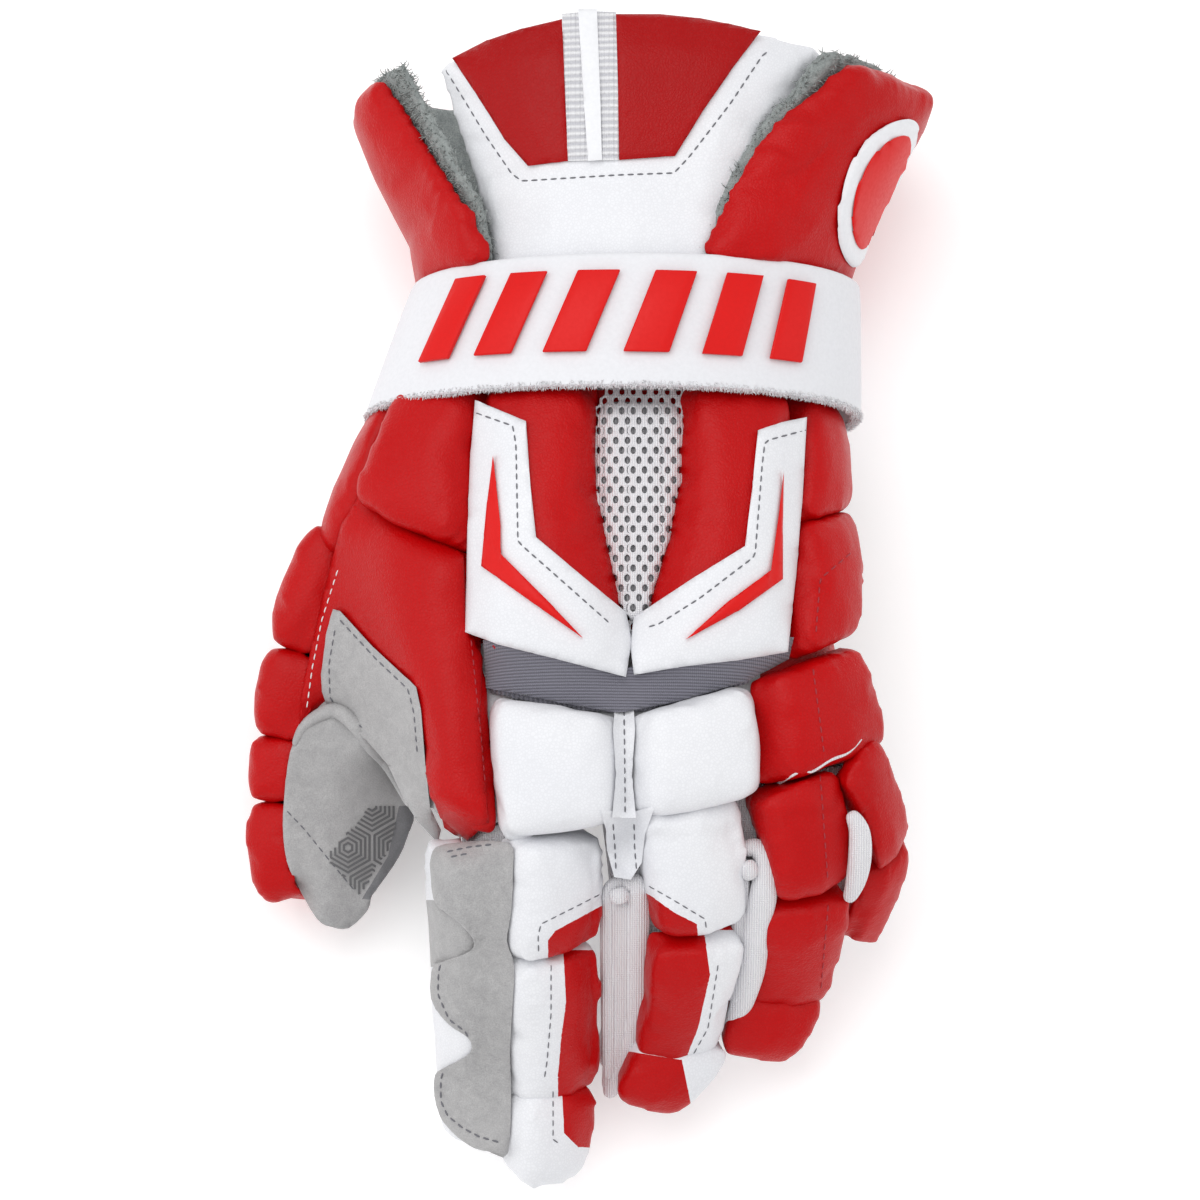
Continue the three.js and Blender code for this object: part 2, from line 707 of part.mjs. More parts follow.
// Overlays on the guard and the back pads.
const overlays = {
  guard_panel_left: new Overlay(
    panels.wrist_guard,
    table(beside, [
      [0.56, -27.6, 0.85, -44.5],
      [0.56, -21, 0.92, -29],
      [0.56, -15.6, 0.955, -15.2],
    ]),
    { thick: 0.9 },
  ),
  guard_panel_right: new Overlay(
    panels.wrist_guard,
    table(beside, [
      [0.575, -2.6, 0.96, -2.6],
      [0.58, 4, 0.955, 13],
      [0.59, 9.8, 0.92, 27.5],
    ]),
    { thick: 0.9 },
  ),
  guard_webbing: new Overlay(
    panels.wrist_guard,
    table(beside, [
      [0.56, -14.9, 0.56, -3.3],
      [0.96, -14.5, 0.96, -3.3],
    ]),
    { thick: 1.5 },
  ),
  guard_webbing_band: new Overlay(
    panels.wrist_guard,
    table(beside, [
      [0.565, -11.2, 0.565, -7.4],
      [0.955, -10.9, 0.955, -7.3],
    ]),
    { thick: 0.8, raise: 1.5 + gap },
  ),
  chevron_left: new Overlay(
    panels.back_pad_left,
    table(beside, [
      [0.34, -29.5, 0.371, -17],
      [0.44, -27.4, 0.468, -14],
      [0.565, -29.5, 0.568, -14.3],
      [0.65, -33.5, 0.602, -11],
      [0.712, -36.5, 0.65, -7.5],
      [0.75, -22, 0.68, -4],
      [0.768, -5, 0.7, -2.6],
    ]),
    { thick: 0.9 },
  ),
  chevron_right: new Overlay(
    panels.back_pad_right,
    table(beside, [
      [0.37, 37.5, 0.35, 47.4],
      [0.47, 34.5, 0.465, 44.6],
      [0.587, 30, 0.61, 39],
      [0.612, 23, 0.69, 34.6],
      [0.64, 15.5, 0.74, 31.6],
      [0.68, 7.5, 0.764, 17],
      [0.712, 3.6, 0.766, 2.4],
    ]),
    { thick: 0.9 },
  ),
  spear_left: new Overlay(
    panels.back_pad_left,
    table(beside, [
      [0.423, -24.6, 0.423, -23.2],
      [0.575, -28.2, 0.57, -24],
      [0.612, -28.6, 0.595, -23.4],
      [0.665, -22.4, 0.648, -19.5],
      [0.738, -12, 0.73, -11],
    ]),
    { thick: 1.2, raise: 0.9 + gap },
  ),
  spear_right: new Overlay(
    panels.back_pad_right,
    table(beside, [
      [0.437, 44.8, 0.437, 46.2],
      [0.6, 38.3, 0.615, 41.2],
      [0.628, 36.5, 0.645, 39.5],
      [0.665, 27, 0.685, 28.4],
      [0.738, 9.4, 0.746, 10.4],
    ]),
    { thick: 1.2, raise: 0.9 + gap },
  ),
};

// A round badge on the little-finger side of the cuff: rows of a circle measured along the skin.
function discRows(sleeve, t, angle, radius, count) {
  const middle = sleeve.skin(t, angle);
  const perShare = sleeve.skin(t + 0.01, angle).distanceTo(middle) * 100;
  const perDegree = sleeve.skin(t, angle + 1).distanceTo(middle);
  return Array.from({ length: count }, (_, i) => {
    const turn = (Math.PI * (i + 0.25)) / (count - 0.5);
    const at = t - (radius * Math.cos(turn)) / perShare;
    const half = (radius * Math.sin(turn)) / perDegree;
    return { at, angle: angle - half, farAt: at, farAngle: angle + half };
  });
}
const strapEdge = wristEnd - handLength * 0.3;
const strapWidth = 38;
const badgeRadius = 19;
const badgeGap = 3.7;
const badgeLine = strapEdge + strapWidth + badgeGap + badgeRadius;
const badge = { at: (badgeLine - cuffSeam) / cuffLength, angle: 72, radius: badgeRadius };
overlays.badge_ring = new Overlay(
  panels.cuff_flap_right,
  discRows(cuffSleeve, badge.at, badge.angle, badge.radius, 9),
  { thick: 1.6 },
);
overlays.badge_centre = new Overlay(
  panels.cuff_flap_right,
  discRows(cuffSleeve, badge.at, badge.angle, badge.radius * 0.72, 9),
  { thick: 0.9, raise: 1.6 + gap },
);

// The strap: a band around the neck of the cuff, wider towards the hand.
const strapHalf = 67.3;
const strapHigh = 44;
const strapThick = 3.5;
const strapRow = (y, side, share) => ({
  centre: new THREE.Vector3(side, y, 48),
  side: new THREE.Vector3(1, 0, 0),
  up: new THREE.Vector3(0, 0, 1),
  wide: strapHalf * share,
  high: strapHigh * (0.5 + share / 2),
});
const strapSleeve = new Sleeve(
  [strapRow(strapEdge, 5.8, 1), strapRow(strapEdge + strapWidth, 12.5, 0.9)],
  { squareness: 2.1 },
);
const strapInside = (inset) =>
  sleeveBody(strapSleeve, { from: -0.02, to: 1.02, inset, steps: 1, round: 30 });
nodes.wrist_strap = sleeveBody(strapSleeve, { inset: -strapThick, steps: 1, round: 30 }).subtract(strapInside(0));
const strapShell = sleeveBody(strapSleeve, { from: -0.02, to: 1.02, inset: -30, steps: 1, round: 30 }).subtract(
  strapInside(gap),
);

// Raised bars along the strap, leaning the same way.
const barCount = 6;
const barSpan = { from: -52, to: 46, lean: 4, wide: 10 };
for (let i = 0; i < barCount; i += 1) {
  const start = barSpan.from + ((barSpan.to - barSpan.from - barSpan.wide) * i) / (barCount - 1);
  overlays[`strap_bar_${i + 1}`] = new Panel(
    strapSleeve,
    table(beside, [
      [0.28, start, 0.28, start + barSpan.wide],
      [0.8, start + barSpan.lean, 0.8, start + barSpan.wide + barSpan.lean],
    ]),
    { thick: 1.5, square: 0, flat: 0, base: () => strapThick },
  );
}

// Every piece is cut clear of the pieces before it.
const settled = [["hand_bag", bagAround(gap)]];
for (const name of Object.keys(digits)) settled.push([`${name}_stall`, digitAround(name, gap)]);
function settle(name, shape, grown) {
  const near = settled.map(([, other]) => other).filter((other) => shape.intersect(other).volume() > 0.001);
  nodes[name] = carve(aboveFloor(shape), ...near);
  if (grown) settled.push([name, grown.add(shape)]);
}
const counts = (name) => {
  if (/flap|lining|wrist_guard/.test(name)) return cuffCounts;
  return /strap_bar/.test(name) ? { along: 2, across: 3 } : { along: 6, across: 4 };
};
for (const [name, panel] of Object.entries({ ...panels, ...overlays })) {
  const isCuff = /flap|lining|wrist_guard/.test(name);
  const shape = panel.body(counts(name));
  const grown = panel.body({ ...counts(name), grow: gap, spread: isCuff ? 0 : 0.03 });
  settle(name, isCuff ? carve(shape, strapShell) : shape, grown);
}

// The suede web between the thumb and the hand, in rows from the thumb to the hand bag.
const webThick = 3;
const webRows = table(
  ["thumbAt", "thumbAngle", "handAt", "handAngle"],
  [
    [0.3, 140, 0.63, -92],
    [0.42, 145, 0.74, -84],
    [0.54, 150, 0.86, -78],
    [0.64, 155, 0.97, -72],
  ],
);
const webPoints = [-webThick / 2, webThick / 2].flatMap((height) =>
  webRows.flatMap((row) => {
    const near = digits.thumb.sleeve.lifted(row.thumbAt, row.thumbAngle, 0.5);
    const far = handSleeve.lifted(row.handAt, row.handAngle, 0.5);
    return [0, 0.33, 0.67, 1].map((share) => {
      const sag = -4 * share * (1 - share) * 3;
      return near.clone().lerp(far, share).add(new THREE.Vector3(0, 0, height + sag));
    });
  }),
);
settle("thumb_web", gridBody(webPoints, webRows.length - 1, 3));

// The finished group, standing on the floor around its middle.
const finish = new THREE.MeshStandardMaterial({ color: "#d8d8d8", roughness: 0.7 });
const group = new THREE.Group();
group.name = "lacrosse_glove";
for (const [name, shape] of Object.entries(nodes)) {
  const { vertProperties, triVerts, numProp } = shape.getMesh();
  const corners = Array.from({ length: vertProperties.length / numProp }, (_, i) =>
    Array.from(vertProperties.slice(i * numProp, i * numProp + 3)),
  );
  const geometry = new THREE.BufferGeometry();
  geometry.setAttribute("position", new THREE.Float32BufferAttribute(corners.flat(), 3));
  geometry.setIndex(Array.from(triVerts));
  const mesh = new THREE.Mesh(geometry, finish);
  mesh.name = name;
  group.add(mesh);
}
const bounds = new THREE.Box3().setFromObject(group);
const floorPoint = new THREE.Vector3();
bounds.getCenter(floorPoint).setZ(bounds.min.z);
for (const mesh of group.children) mesh.geometry.translate(-floorPoint.x, -floorPoint.y, -floorPoint.z);

export default group;
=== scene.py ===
import bisect
import math
import random

import bmesh
import bpy
from mathutils import Matrix, Vector
from mathutils.bvhtree import BVHTree


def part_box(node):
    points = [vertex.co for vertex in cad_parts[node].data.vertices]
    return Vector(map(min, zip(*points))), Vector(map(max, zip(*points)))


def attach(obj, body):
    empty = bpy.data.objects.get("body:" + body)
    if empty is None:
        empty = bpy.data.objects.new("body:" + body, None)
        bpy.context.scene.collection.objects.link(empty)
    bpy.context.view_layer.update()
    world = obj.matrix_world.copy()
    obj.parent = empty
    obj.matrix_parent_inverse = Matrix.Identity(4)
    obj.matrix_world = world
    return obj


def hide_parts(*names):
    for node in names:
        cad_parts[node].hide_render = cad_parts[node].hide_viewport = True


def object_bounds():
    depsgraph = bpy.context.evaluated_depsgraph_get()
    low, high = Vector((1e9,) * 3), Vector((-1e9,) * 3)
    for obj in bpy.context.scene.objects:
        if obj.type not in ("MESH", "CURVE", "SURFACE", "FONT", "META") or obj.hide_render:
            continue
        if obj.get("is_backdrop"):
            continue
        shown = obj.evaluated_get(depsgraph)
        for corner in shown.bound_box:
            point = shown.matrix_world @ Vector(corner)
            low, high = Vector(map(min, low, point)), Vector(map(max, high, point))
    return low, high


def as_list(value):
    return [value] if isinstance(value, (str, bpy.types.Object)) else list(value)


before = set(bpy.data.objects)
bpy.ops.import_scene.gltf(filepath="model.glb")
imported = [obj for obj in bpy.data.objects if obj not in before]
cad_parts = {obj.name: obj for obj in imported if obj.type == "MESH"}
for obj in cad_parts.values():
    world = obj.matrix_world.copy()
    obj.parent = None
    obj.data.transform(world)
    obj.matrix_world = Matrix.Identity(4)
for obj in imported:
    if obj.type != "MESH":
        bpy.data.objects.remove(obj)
cad_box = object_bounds()


# The studio: a plain pale floor, a large softbox overhead, two side panels and a camera above the glove.
# The camera looks down at 80 degrees, with the cuff at the top of the picture. A sight line runs from
# the lens through a dot of the picture, so a piece is placed where the picture shows it.
PICTURE_DOT = 0.00028
PICTURE_MIDDLE = (592, 598)
LENS_DISTANCE = 1.5
LOOK_AT = Vector((0.002878, 0.001365, 0.05))
TILT = math.radians(10)


class Sight:
    """A lens and the flat picture in front of it, with lines of sight through the picture's dots."""

    def __init__(self, look_at, right, up, distance, dot, middle, lens_shift=(0, 0)):
        self.look_at, self.right, self.up, self.dot, self.middle = look_at, right, up, dot, middle
        self.towards = right.cross(up)
        self.distance = distance
        self.lens = self.point(middle[0] + lens_shift[0], middle[1] + lens_shift[1]) + self.towards * distance

    def point(self, x, y):
        return self.look_at + (self.right * (x - self.middle[0]) + self.up * (self.middle[1] - y)) * self.dot

    def ray(self, x, y):
        return (self.point(x, y) - self.lens).normalized()

    def spot(self, x, y, height):
        ray = self.ray(x, y)
        return self.lens + ray * ((height - self.lens.z) / ray.z)

    def dot_of(self, point):
        ray = point - self.lens
        flat = self.lens + ray * (self.distance / -ray.dot(self.towards)) - self.look_at
        return self.middle[0] + flat.dot(self.right) / self.dot, self.middle[1] - flat.dot(self.up) / self.dot


photo = Sight(LOOK_AT, Vector((1, 0, 0)), Vector((0, math.cos(TILT), math.sin(TILT))), LENS_DISTANCE,
              PICTURE_DOT, PICTURE_MIDDLE, (8, 2))


def only(piece):
    if bpy.context.object and bpy.context.object.mode != "OBJECT":
        bpy.ops.object.mode_set(mode="OBJECT")
    bpy.ops.object.select_all(action="DESELECT")
    piece.select_set(True)
    bpy.context.view_layer.objects.active = piece


def settle(piece):
    only(piece)
    bpy.ops.object.transform_apply(location=True, rotation=True, scale=True)


def added(name):
    piece = bpy.context.object
    piece.name = name
    piece.data.name = name
    return piece


def new_finish(name, roughness=0.5):
    finish = bpy.data.materials.new(name)
    finish.use_nodes = True
    shader = finish.node_tree.nodes["Principled BSDF"]
    shader.inputs["Roughness"].default_value = roughness
    return finish, finish.node_tree, shader


def linked(tree, kind, inputs=None, **settings):
    node = tree.nodes.new(kind)
    for key, value in settings.items():
        setattr(node, key, value)
    for key, value in (inputs or {}).items():
        if isinstance(value, bpy.types.NodeSocket):
            tree.links.new(value, node.inputs[key])
        else:
            node.inputs[key].default_value = value
    return node


def place_on_piece(tree):
    return linked(tree, "ShaderNodeTexCoord").outputs["Object"]


def noise(tree, place, scale, detail=3.0, roughness=0.5, distortion=0.0):
    inputs = {"Vector": place, "Scale": scale, "Detail": detail, "Roughness": roughness,
              "Distortion": distortion}
    return linked(tree, "ShaderNodeTexNoise", inputs).outputs["Fac"]


def ranged(tree, value, low, high, to_low, to_high):
    inputs = {"Value": value, "From Min": low, "From Max": high, "To Min": to_low, "To Max": to_high}
    return linked(tree, "ShaderNodeMapRange", inputs).outputs["Result"]


def shaded(colour, share):
    """The same colour, darker or paler."""
    return tuple(min(part * share, 1) for part in colour[:3]) + (1,)


def mixed(tree, share, first, second):
    node = linked(tree, "ShaderNodeMix", data_type="RGBA")
    for socket, value in ((node.inputs[0], share), (node.inputs[6], first), (node.inputs[7], second)):
        if isinstance(value, bpy.types.NodeSocket):
            tree.links.new(value, socket)
        else:
            socket.default_value = value
    return node.outputs[2]


def raised(tree, shader, *layers):
    normal = None
    for height, depth in layers:
        inputs = {"Height": height, "Distance": depth, "Strength": 1.0}
        if normal:
            inputs["Normal"] = normal
        normal = linked(tree, "ShaderNodeBump", inputs).outputs["Normal"]
    tree.links.new(normal, shader.inputs["Normal"])


bpy.ops.object.select_all(action="DESELECT")
bpy.ops.mesh.primitive_plane_add(size=6, location=(0, 0, -0.0006))
floor = added("studio_floor")
settle(floor)
floor_finish, tree, shader = new_finish("studio_floor", 0.9)
cloudy = ranged(tree, noise(tree, place_on_piece(tree), 3), 0.3, 0.7, 0.955, 0.965)
shade = linked(tree, "ShaderNodeCombineColor", {"Red": cloudy, "Green": cloudy, "Blue": cloudy})
tree.links.new(shade.outputs[0], shader.inputs["Base Color"])
shader.inputs["Emission Color"].default_value = (1, 1, 1, 1)
shader.inputs["Emission Strength"].default_value = 0.22
floor.data.materials.append(floor_finish)
floor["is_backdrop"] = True

for name, place, turn, size, power in (
    ("softbox_top", (-0.25, 0.35, 1.15), (-0.28, -0.2, 0), 1.0, 6.5),
    ("panel_left", (-1.1, -0.1, 0.7), (0, -1.0, 0), 0.9, 2.6),
    ("panel_right", (1.1, 0.1, 0.7), (0, 1.0, 0), 0.9, 2.0),
    ("panel_front", (0, -1.1, 0.8), (0.9, 0, 0), 0.9, 1.7),
):
    bpy.ops.object.light_add(type="AREA", location=place, rotation=turn)
    bpy.context.object.name = name
    bpy.context.object.data.size = size
    bpy.context.object.data.energy = power
world = bpy.data.worlds.new("pale_room")
bpy.context.scene.world = world
world.use_nodes = True
world.node_tree.nodes["Background"].inputs["Color"].default_value = (1, 1, 1, 1)
world.node_tree.nodes["Background"].inputs["Strength"].default_value = 0.66
bpy.context.scene.view_settings.view_transform = "Standard"

bpy.ops.object.camera_add(location=photo.lens, rotation=(TILT, 0, 0))
camera = bpy.context.object
camera.name = "camera"
camera.data.sensor_width = 36
camera.data.lens = 36 / (1200 * PICTURE_DOT) * LENS_DISTANCE
camera.data.clip_start = 0.05
camera.data.clip_end = 20
bpy.context.scene.camera = camera


# The hand bag and the five stalls: the soft inner glove that every pad is sewn to. The bag and the thumb
# are light-grey suede and the four fingers are white knit with a fine rib. They are cut flat, sewn along
# their sides and turned, so they are smooth tubes.
def edited(piece, operator, **settings):
    """Run one edit operator on all of a piece."""
    only(piece)
    bpy.ops.object.mode_set(mode="EDIT")
    bpy.ops.mesh.select_all(action="SELECT")
    operator(**settings)
    bpy.ops.object.mode_set(mode="OBJECT")


def copy_of(node, name):
    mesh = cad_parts[node].data.copy()
    piece = bpy.data.objects.new(name, mesh)
    bpy.context.scene.collection.objects.link(piece)
    mesh.name = name
    mesh.materials.clear()
    edited(piece, bpy.ops.mesh.remove_doubles, threshold=0.00001)
    if mesh.has_custom_normals:
        bpy.ops.mesh.customdata_custom_splitnormals_clear()
    return piece


def apply(piece, kind, **settings):
    only(piece)
    step = piece.modifiers.new("step", kind)
    for key, value in settings.items():
        setattr(step, key, value)
    bpy.ops.object.modifier_apply(modifier=step.name)


def smoothed(piece, angle=None):
    only(piece)
    if angle is None:
        bpy.ops.object.shade_smooth()
    else:
        bpy.ops.object.shade_smooth_by_angle(angle=math.radians(angle))


def squared(piece):
    edited(piece, bpy.ops.mesh.tris_convert_to_quads, face_threshold=0.7, shape_threshold=0.7)


def dressed(piece, finish, slot, *replaced):
    piece.data.materials.append(finish)
    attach(piece, "root")
    if replaced:
        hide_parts(*replaced)
    return piece


def suede_finish(name, light, dark, nap=0.00012):
    finish, tree, shader = new_finish(name, 0.92)
    place = place_on_piece(tree)
    streaks = noise(tree, place, 260, 4, 0.65, 0.6)
    nap_fine = noise(tree, place, 2600, 2, 0.6)
    patches = noise(tree, place, 28, 2, 0.5, 0.3)
    share = ranged(tree, streaks, 0.3, 0.7, 0.0, 0.75)
    base = mixed(tree, share, light, dark)
    spots = ranged(tree, nap_fine, 0.35, 0.75, 0.0, 0.6)
    base = mixed(tree, spots, base, shaded(dark, 0.7))
    worn = ranged(tree, patches, 0.45, 0.75, 0.0, 0.25)
    base = mixed(tree, worn, base, shaded(light, 1.18))
    tree.links.new(base, shader.inputs["Base Color"])
    shader.inputs["Sheen Weight"].default_value = 0.25
    shader.inputs["Sheen Roughness"].default_value = 0.45
    shader.inputs["Specular IOR Level"].default_value = 0.2
    raised(tree, shader, (streaks, nap), (nap_fine, nap * 0.6))
    return finish


def knit_finish(name, light, dark, rib=0.0011, ribs_run="Y"):
    finish, tree, shader = new_finish(name, 0.88)
    place = place_on_piece(tree)
    waves = []
    for scale, distortion, direction in ((0.314 / rib, 0.35, "X" if ribs_run == "Y" else "Y"),
                                         (0.45 / rib, 0.5, ribs_run)):
        inputs = {"Vector": place, "Scale": scale, "Distortion": distortion, "Detail": 1.0,
                  "Detail Scale": 2.0}
        waves.append(linked(tree, "ShaderNodeTexWave", inputs, bands_direction=direction).outputs["Fac"])
    across, along = waves
    fuzz = noise(tree, place, 1800, 3, 0.6)
    # The grooves between the ribs get the dark colour and the crests the light one: painted shade in the
    # grooves.
    share = ranged(tree, across, 0.05, 0.6, 1.0, 0.0)
    base = mixed(tree, share, light, dark)
    tree.links.new(base, shader.inputs["Base Color"])
    shader.inputs["Sheen Weight"].default_value = 0.3
    shader.inputs["Specular IOR Level"].default_value = 0.25
    raised(tree, shader, (across, rib * 0.28), (along, rib * 0.12), (fuzz, 0.00006))
    return finish


palm_suede = suede_finish("palm_suede", (0.54, 0.53, 0.525, 1), (0.37, 0.365, 0.36, 1))
white_knit = knit_finish("white_knit", (0.84, 0.83, 0.85, 1), (0.70, 0.69, 0.73, 1), 0.0007)
stalls = ("index_stall", "middle_stall", "ring_stall", "pinky_stall")
for node in ("hand_bag", "thumb_stall") + stalls:
    piece = copy_of(node, node + "_cloth")
    squared(piece)
    apply(piece, "SUBSURF", levels=1, render_levels=1)
    smoothed(piece, 50)
    if node in stalls:
        dressed(piece, white_knit, "knit", node)
    else:
        dressed(piece, palm_suede, "palm_leather", node)
    if node == "hand_bag":
        bag = piece
    if node == "thumb_stall":
        thumb_cloth = piece


# The red pads on the back of the hand: foam blocks under red synthetic leather with a fine grain. The
# leather is sewn down round each block and puffs up between the seams, so a pad is crowned and its
# edges pull in, with short creases beside the stitching.
def leather_finish(name, colour, shadow, grain=0.00005, roughness=0.36, crease=0.0004):
    finish, tree, shader = new_finish(name, roughness)
    place = place_on_piece(tree)
    cells = linked(tree, "ShaderNodeTexVoronoi", {"Vector": place, "Scale": 1100.0, "Randomness": 1.0},
                   feature="DISTANCE_TO_EDGE").outputs["Distance"]
    pores = ranged(tree, cells, 0.0, 0.25, 0.0, 1.0)
    fine = noise(tree, place, 2400, 3, 0.6)
    creases = noise(tree, place, 75, 4, 0.55, 1.6)
    clouds = noise(tree, place, 22, 2, 0.5, 0.4)
    base = mixed(tree, ranged(tree, clouds, 0.3, 0.75, 0.0, 0.55), colour, shadow)
    base = mixed(tree, ranged(tree, pores, 0.0, 1.0, 0.16, 0.0), base, shaded(shadow, 0.6))
    tree.links.new(base, shader.inputs["Base Color"])
    gloss = ranged(tree, fine, 0.3, 0.7, roughness - 0.07, roughness + 0.09)
    tree.links.new(gloss, shader.inputs["Roughness"])
    shader.inputs["Specular IOR Level"].default_value = 0.18
    raised(tree, shader, (creases, crease), (pores, grain), (fine, grain * 0.4))
    return finish


RED = (0.50, 0.001, 0.002, 1)
RED_SHADE = (0.41, 0.0005, 0.001, 1)
WHITE = (0.80, 0.805, 0.83, 1)
WHITE_SHADE = (0.73, 0.74, 0.78, 1)
red_leather = leather_finish("red_leather", RED, RED_SHADE)
white_leather = leather_finish("white_leather", WHITE, WHITE_SHADE, 0.000012, 0.42)


def skin_of(*nodes):
    bm = bmesh.new()
    for node in nodes:
        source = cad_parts[node].data if isinstance(node, str) else node.data
        bm.from_mesh(source)
    tree = BVHTree.FromBMesh(bm)
    bm.free()
    return tree


hand_skin = skin_of("hand_bag", "thumb_stall", *stalls)
LOWEST = 0.0002


def puffed(node, name, carrier, cell=0.0016, swell=0.02, pressure=70, cap=0.0026, held=0.0018,
           spread=0.0019):
    """A soft cover made from a node's mesh, sewn down where it meets its carrier and puffed up elsewhere."""
    piece = copy_of(node, name)
    apply(piece, "REMESH", mode="VOXEL", voxel_size=cell, use_smooth_shade=True)
    start = []
    for vertex in piece.data.vertices:
        place = vertex.co
        if not callable(carrier):
            away = (place - carrier.find_nearest(place)[0]).normalized()
            sideways = vertex.normal - away * vertex.normal.dot(away)
            place = place + sideways * spread
        start.append(place.copy())
    for vertex, place in zip(piece.data.vertices, start):
        vertex.co = place
    group = piece.vertex_groups.new(name="sewn")
    for vertex in piece.data.vertices:
        near = carrier(vertex) if callable(carrier) else carrier.find_nearest(vertex.co)[3] < held
        if near:
            group.add([vertex.index], 1.0, "REPLACE")
    only(piece)
    cloth = piece.modifiers.new("swell", "CLOTH")
    settings = cloth.settings
    settings.use_pressure = True
    settings.uniform_pressure_force = pressure
    settings.effector_weights.gravity = 0
    settings.vertex_group_mass = "sewn"
    settings.shrink_min = -swell
    settings.quality = 4
    settings.tension_stiffness = 15
    settings.compression_stiffness = 15
    settings.shear_stiffness = 5
    settings.bending_stiffness = 2
    cloth.point_cache.frame_start = 1
    cloth.point_cache.frame_end = 20
    for number in range(1, 21):
        bpy.context.scene.frame_set(number)
    only(piece)
    bpy.ops.object.modifier_apply(modifier="swell")
    bpy.context.scene.frame_set(1)
    for vertex, place in zip(piece.data.vertices, start):
        move = vertex.co - place
        if move.length > cap:
            vertex.co = place + move * (cap / move.length)
    piece.vertex_groups.clear()
    apply(piece, "SMOOTH", factor=0.5, iterations=3)
    apply(piece, "SUBSURF", levels=1, render_levels=1)
    for vertex in piece.data.vertices:
        vertex.co.z = max(vertex.co.z, LOWEST)
    smoothed(piece)
    return piece


def pad(node, finish, slot, carrier=hand_skin, fill=0.6, **how):
    piece = dressed(puffed(node, node + "_cover", carrier, **how), finish, slot, node)
    return piece


pads = {}


def those(*names):
    return [pads[name] for name in names]


for node in ("back_pad_left", "back_pad_right", "wrist_pad_left", "side_roll_left", "hand_panel_left",
             "side_pad_upper", "side_pad_lower", "knuckle_pad_ring"):
    pads[node] = pad(node, red_leather, "red_leather")


# The two white knuckle blocks and the rolls down the fingers: short foam rolls, each in its own pocket,
# so that the finger bends between them. Some are white, some red, and some are pieced from both.
def side_planes(outline, sight):
    for start, end in zip(outline, outline[1:] + outline[:1]):
        first = sight.point(*start)
        second = sight.point(*end)
        yield start, end, first, (first - sight.lens).cross(second - sight.lens).normalized()


def within(outline, x, y):
    inside = False
    for (ax, ay), (bx, by) in zip(outline, outline[1:] + outline[:1]):
        if (ay > y) != (by > y) and x < (bx - ax) * (y - ay) / (by - ay) + ax:
            inside = not inside
    return inside


def span_distance(x, y, start, end):
    sx, sy = end[0] - start[0], end[1] - start[1]
    share = max(0, min(1, ((x - start[0]) * sx + (y - start[1]) * sy) / (sx * sx + sy * sy)))
    return math.hypot(x - start[0] - sx * share, y - start[1] - sy * share)


def spline_weights(f):
    """What four points in a row count for, at a share f of the way from the second to the third."""
    return (-0.5 * f + f * f - 0.5 * f ** 3, 1 - 2.5 * f * f + 1.5 * f ** 3,
            0.5 * f + 2 * f * f - 1.5 * f ** 3, -0.5 * f * f + 0.5 * f ** 3)


def curved(dots, parts=3):
    """The same closed outline with its corners drawn round."""
    smooth = []
    for number, second in enumerate(dots):
        third, fourth = dots[(number + 1) % len(dots)], dots[(number + 2) % len(dots)]
        row = (dots[number - 1], second, third, fourth)
        for part in range(parts):
            weights = spline_weights(part / parts)
            smooth.append(tuple(sum(dot[axis] * weight for dot, weight in zip(row, weights))
                                for axis in (0, 1)))
    return smooth


def cut_along(piece, outline, reach=9, sight=photo):
    only(piece)
    bpy.ops.object.mode_set(mode="EDIT")
    bpy.ops.mesh.select_mode(type="FACE")
    for start, end, place, normal in side_planes(outline, sight):
        bm = bmesh.from_edit_mesh(piece.data)
        bpy.ops.mesh.select_all(action="DESELECT")
        for face in bm.faces:
            x, y = sight.dot_of(face.calc_center_median())
            if span_distance(x, y, start, end) < reach:
                face.select_set(True)
        bmesh.update_edit_mesh(piece.data)
        bpy.ops.mesh.bisect(plane_co=place, plane_no=normal)
    bpy.ops.object.mode_set(mode="OBJECT")


def piece_in(piece, finish, *outlines, above=0.0):
    piece.data.materials.append(finish)
    slot = len(piece.data.materials) - 1
    for outline in outlines:
        cut_along(piece, outline)
        for face in piece.data.polygons:
            if face.center.z > above and within(outline, *photo.dot_of(face.center)):
                face.material_index = slot


piece_in(bag, red_leather, [(300, 380), (900, 380), (900, 900), (480, 900), (330, 600)], above=0.052)
piece_in(bag, white_leather, [(482, 640), (760, 640), (760, 850), (482, 850)], above=0.052)
for node in ("knuckle_pad_index", "knuckle_pad_middle", "index_roll_1", "index_roll_2", "index_roll_3",
             "middle_roll_1", "middle_roll_3"):
    pads[node] = pad(node, white_leather, "white_leather")
for node in ("middle_roll_2", "ring_roll_1", "ring_roll_2", "ring_roll_3", "pinky_roll_1", "pinky_roll_2",
             "thumb_roll_1", "thumb_roll_2", "thumb_roll_3", "thumb_roll_4"):
    pads[node] = pad(node, red_leather, "red_leather")


def fitted(piece, *rows):
    """Draw a cover sideways to the picture's edges; a row is (y, left, right, new left, new right)."""
    for vertex in piece.data.vertices:
        x, y = photo.dot_of(vertex.co)
        share = max(0, min(1, (y - rows[0][0]) / (rows[-1][0] - rows[0][0])))
        left, right, new_left, new_right = (a + (b - a) * share for a, b in zip(rows[0][1:], rows[-1][1:]))
        vertex.co.x += (new_left + (x - left) * (new_right - new_left) / (right - left) - x) * photo.dot


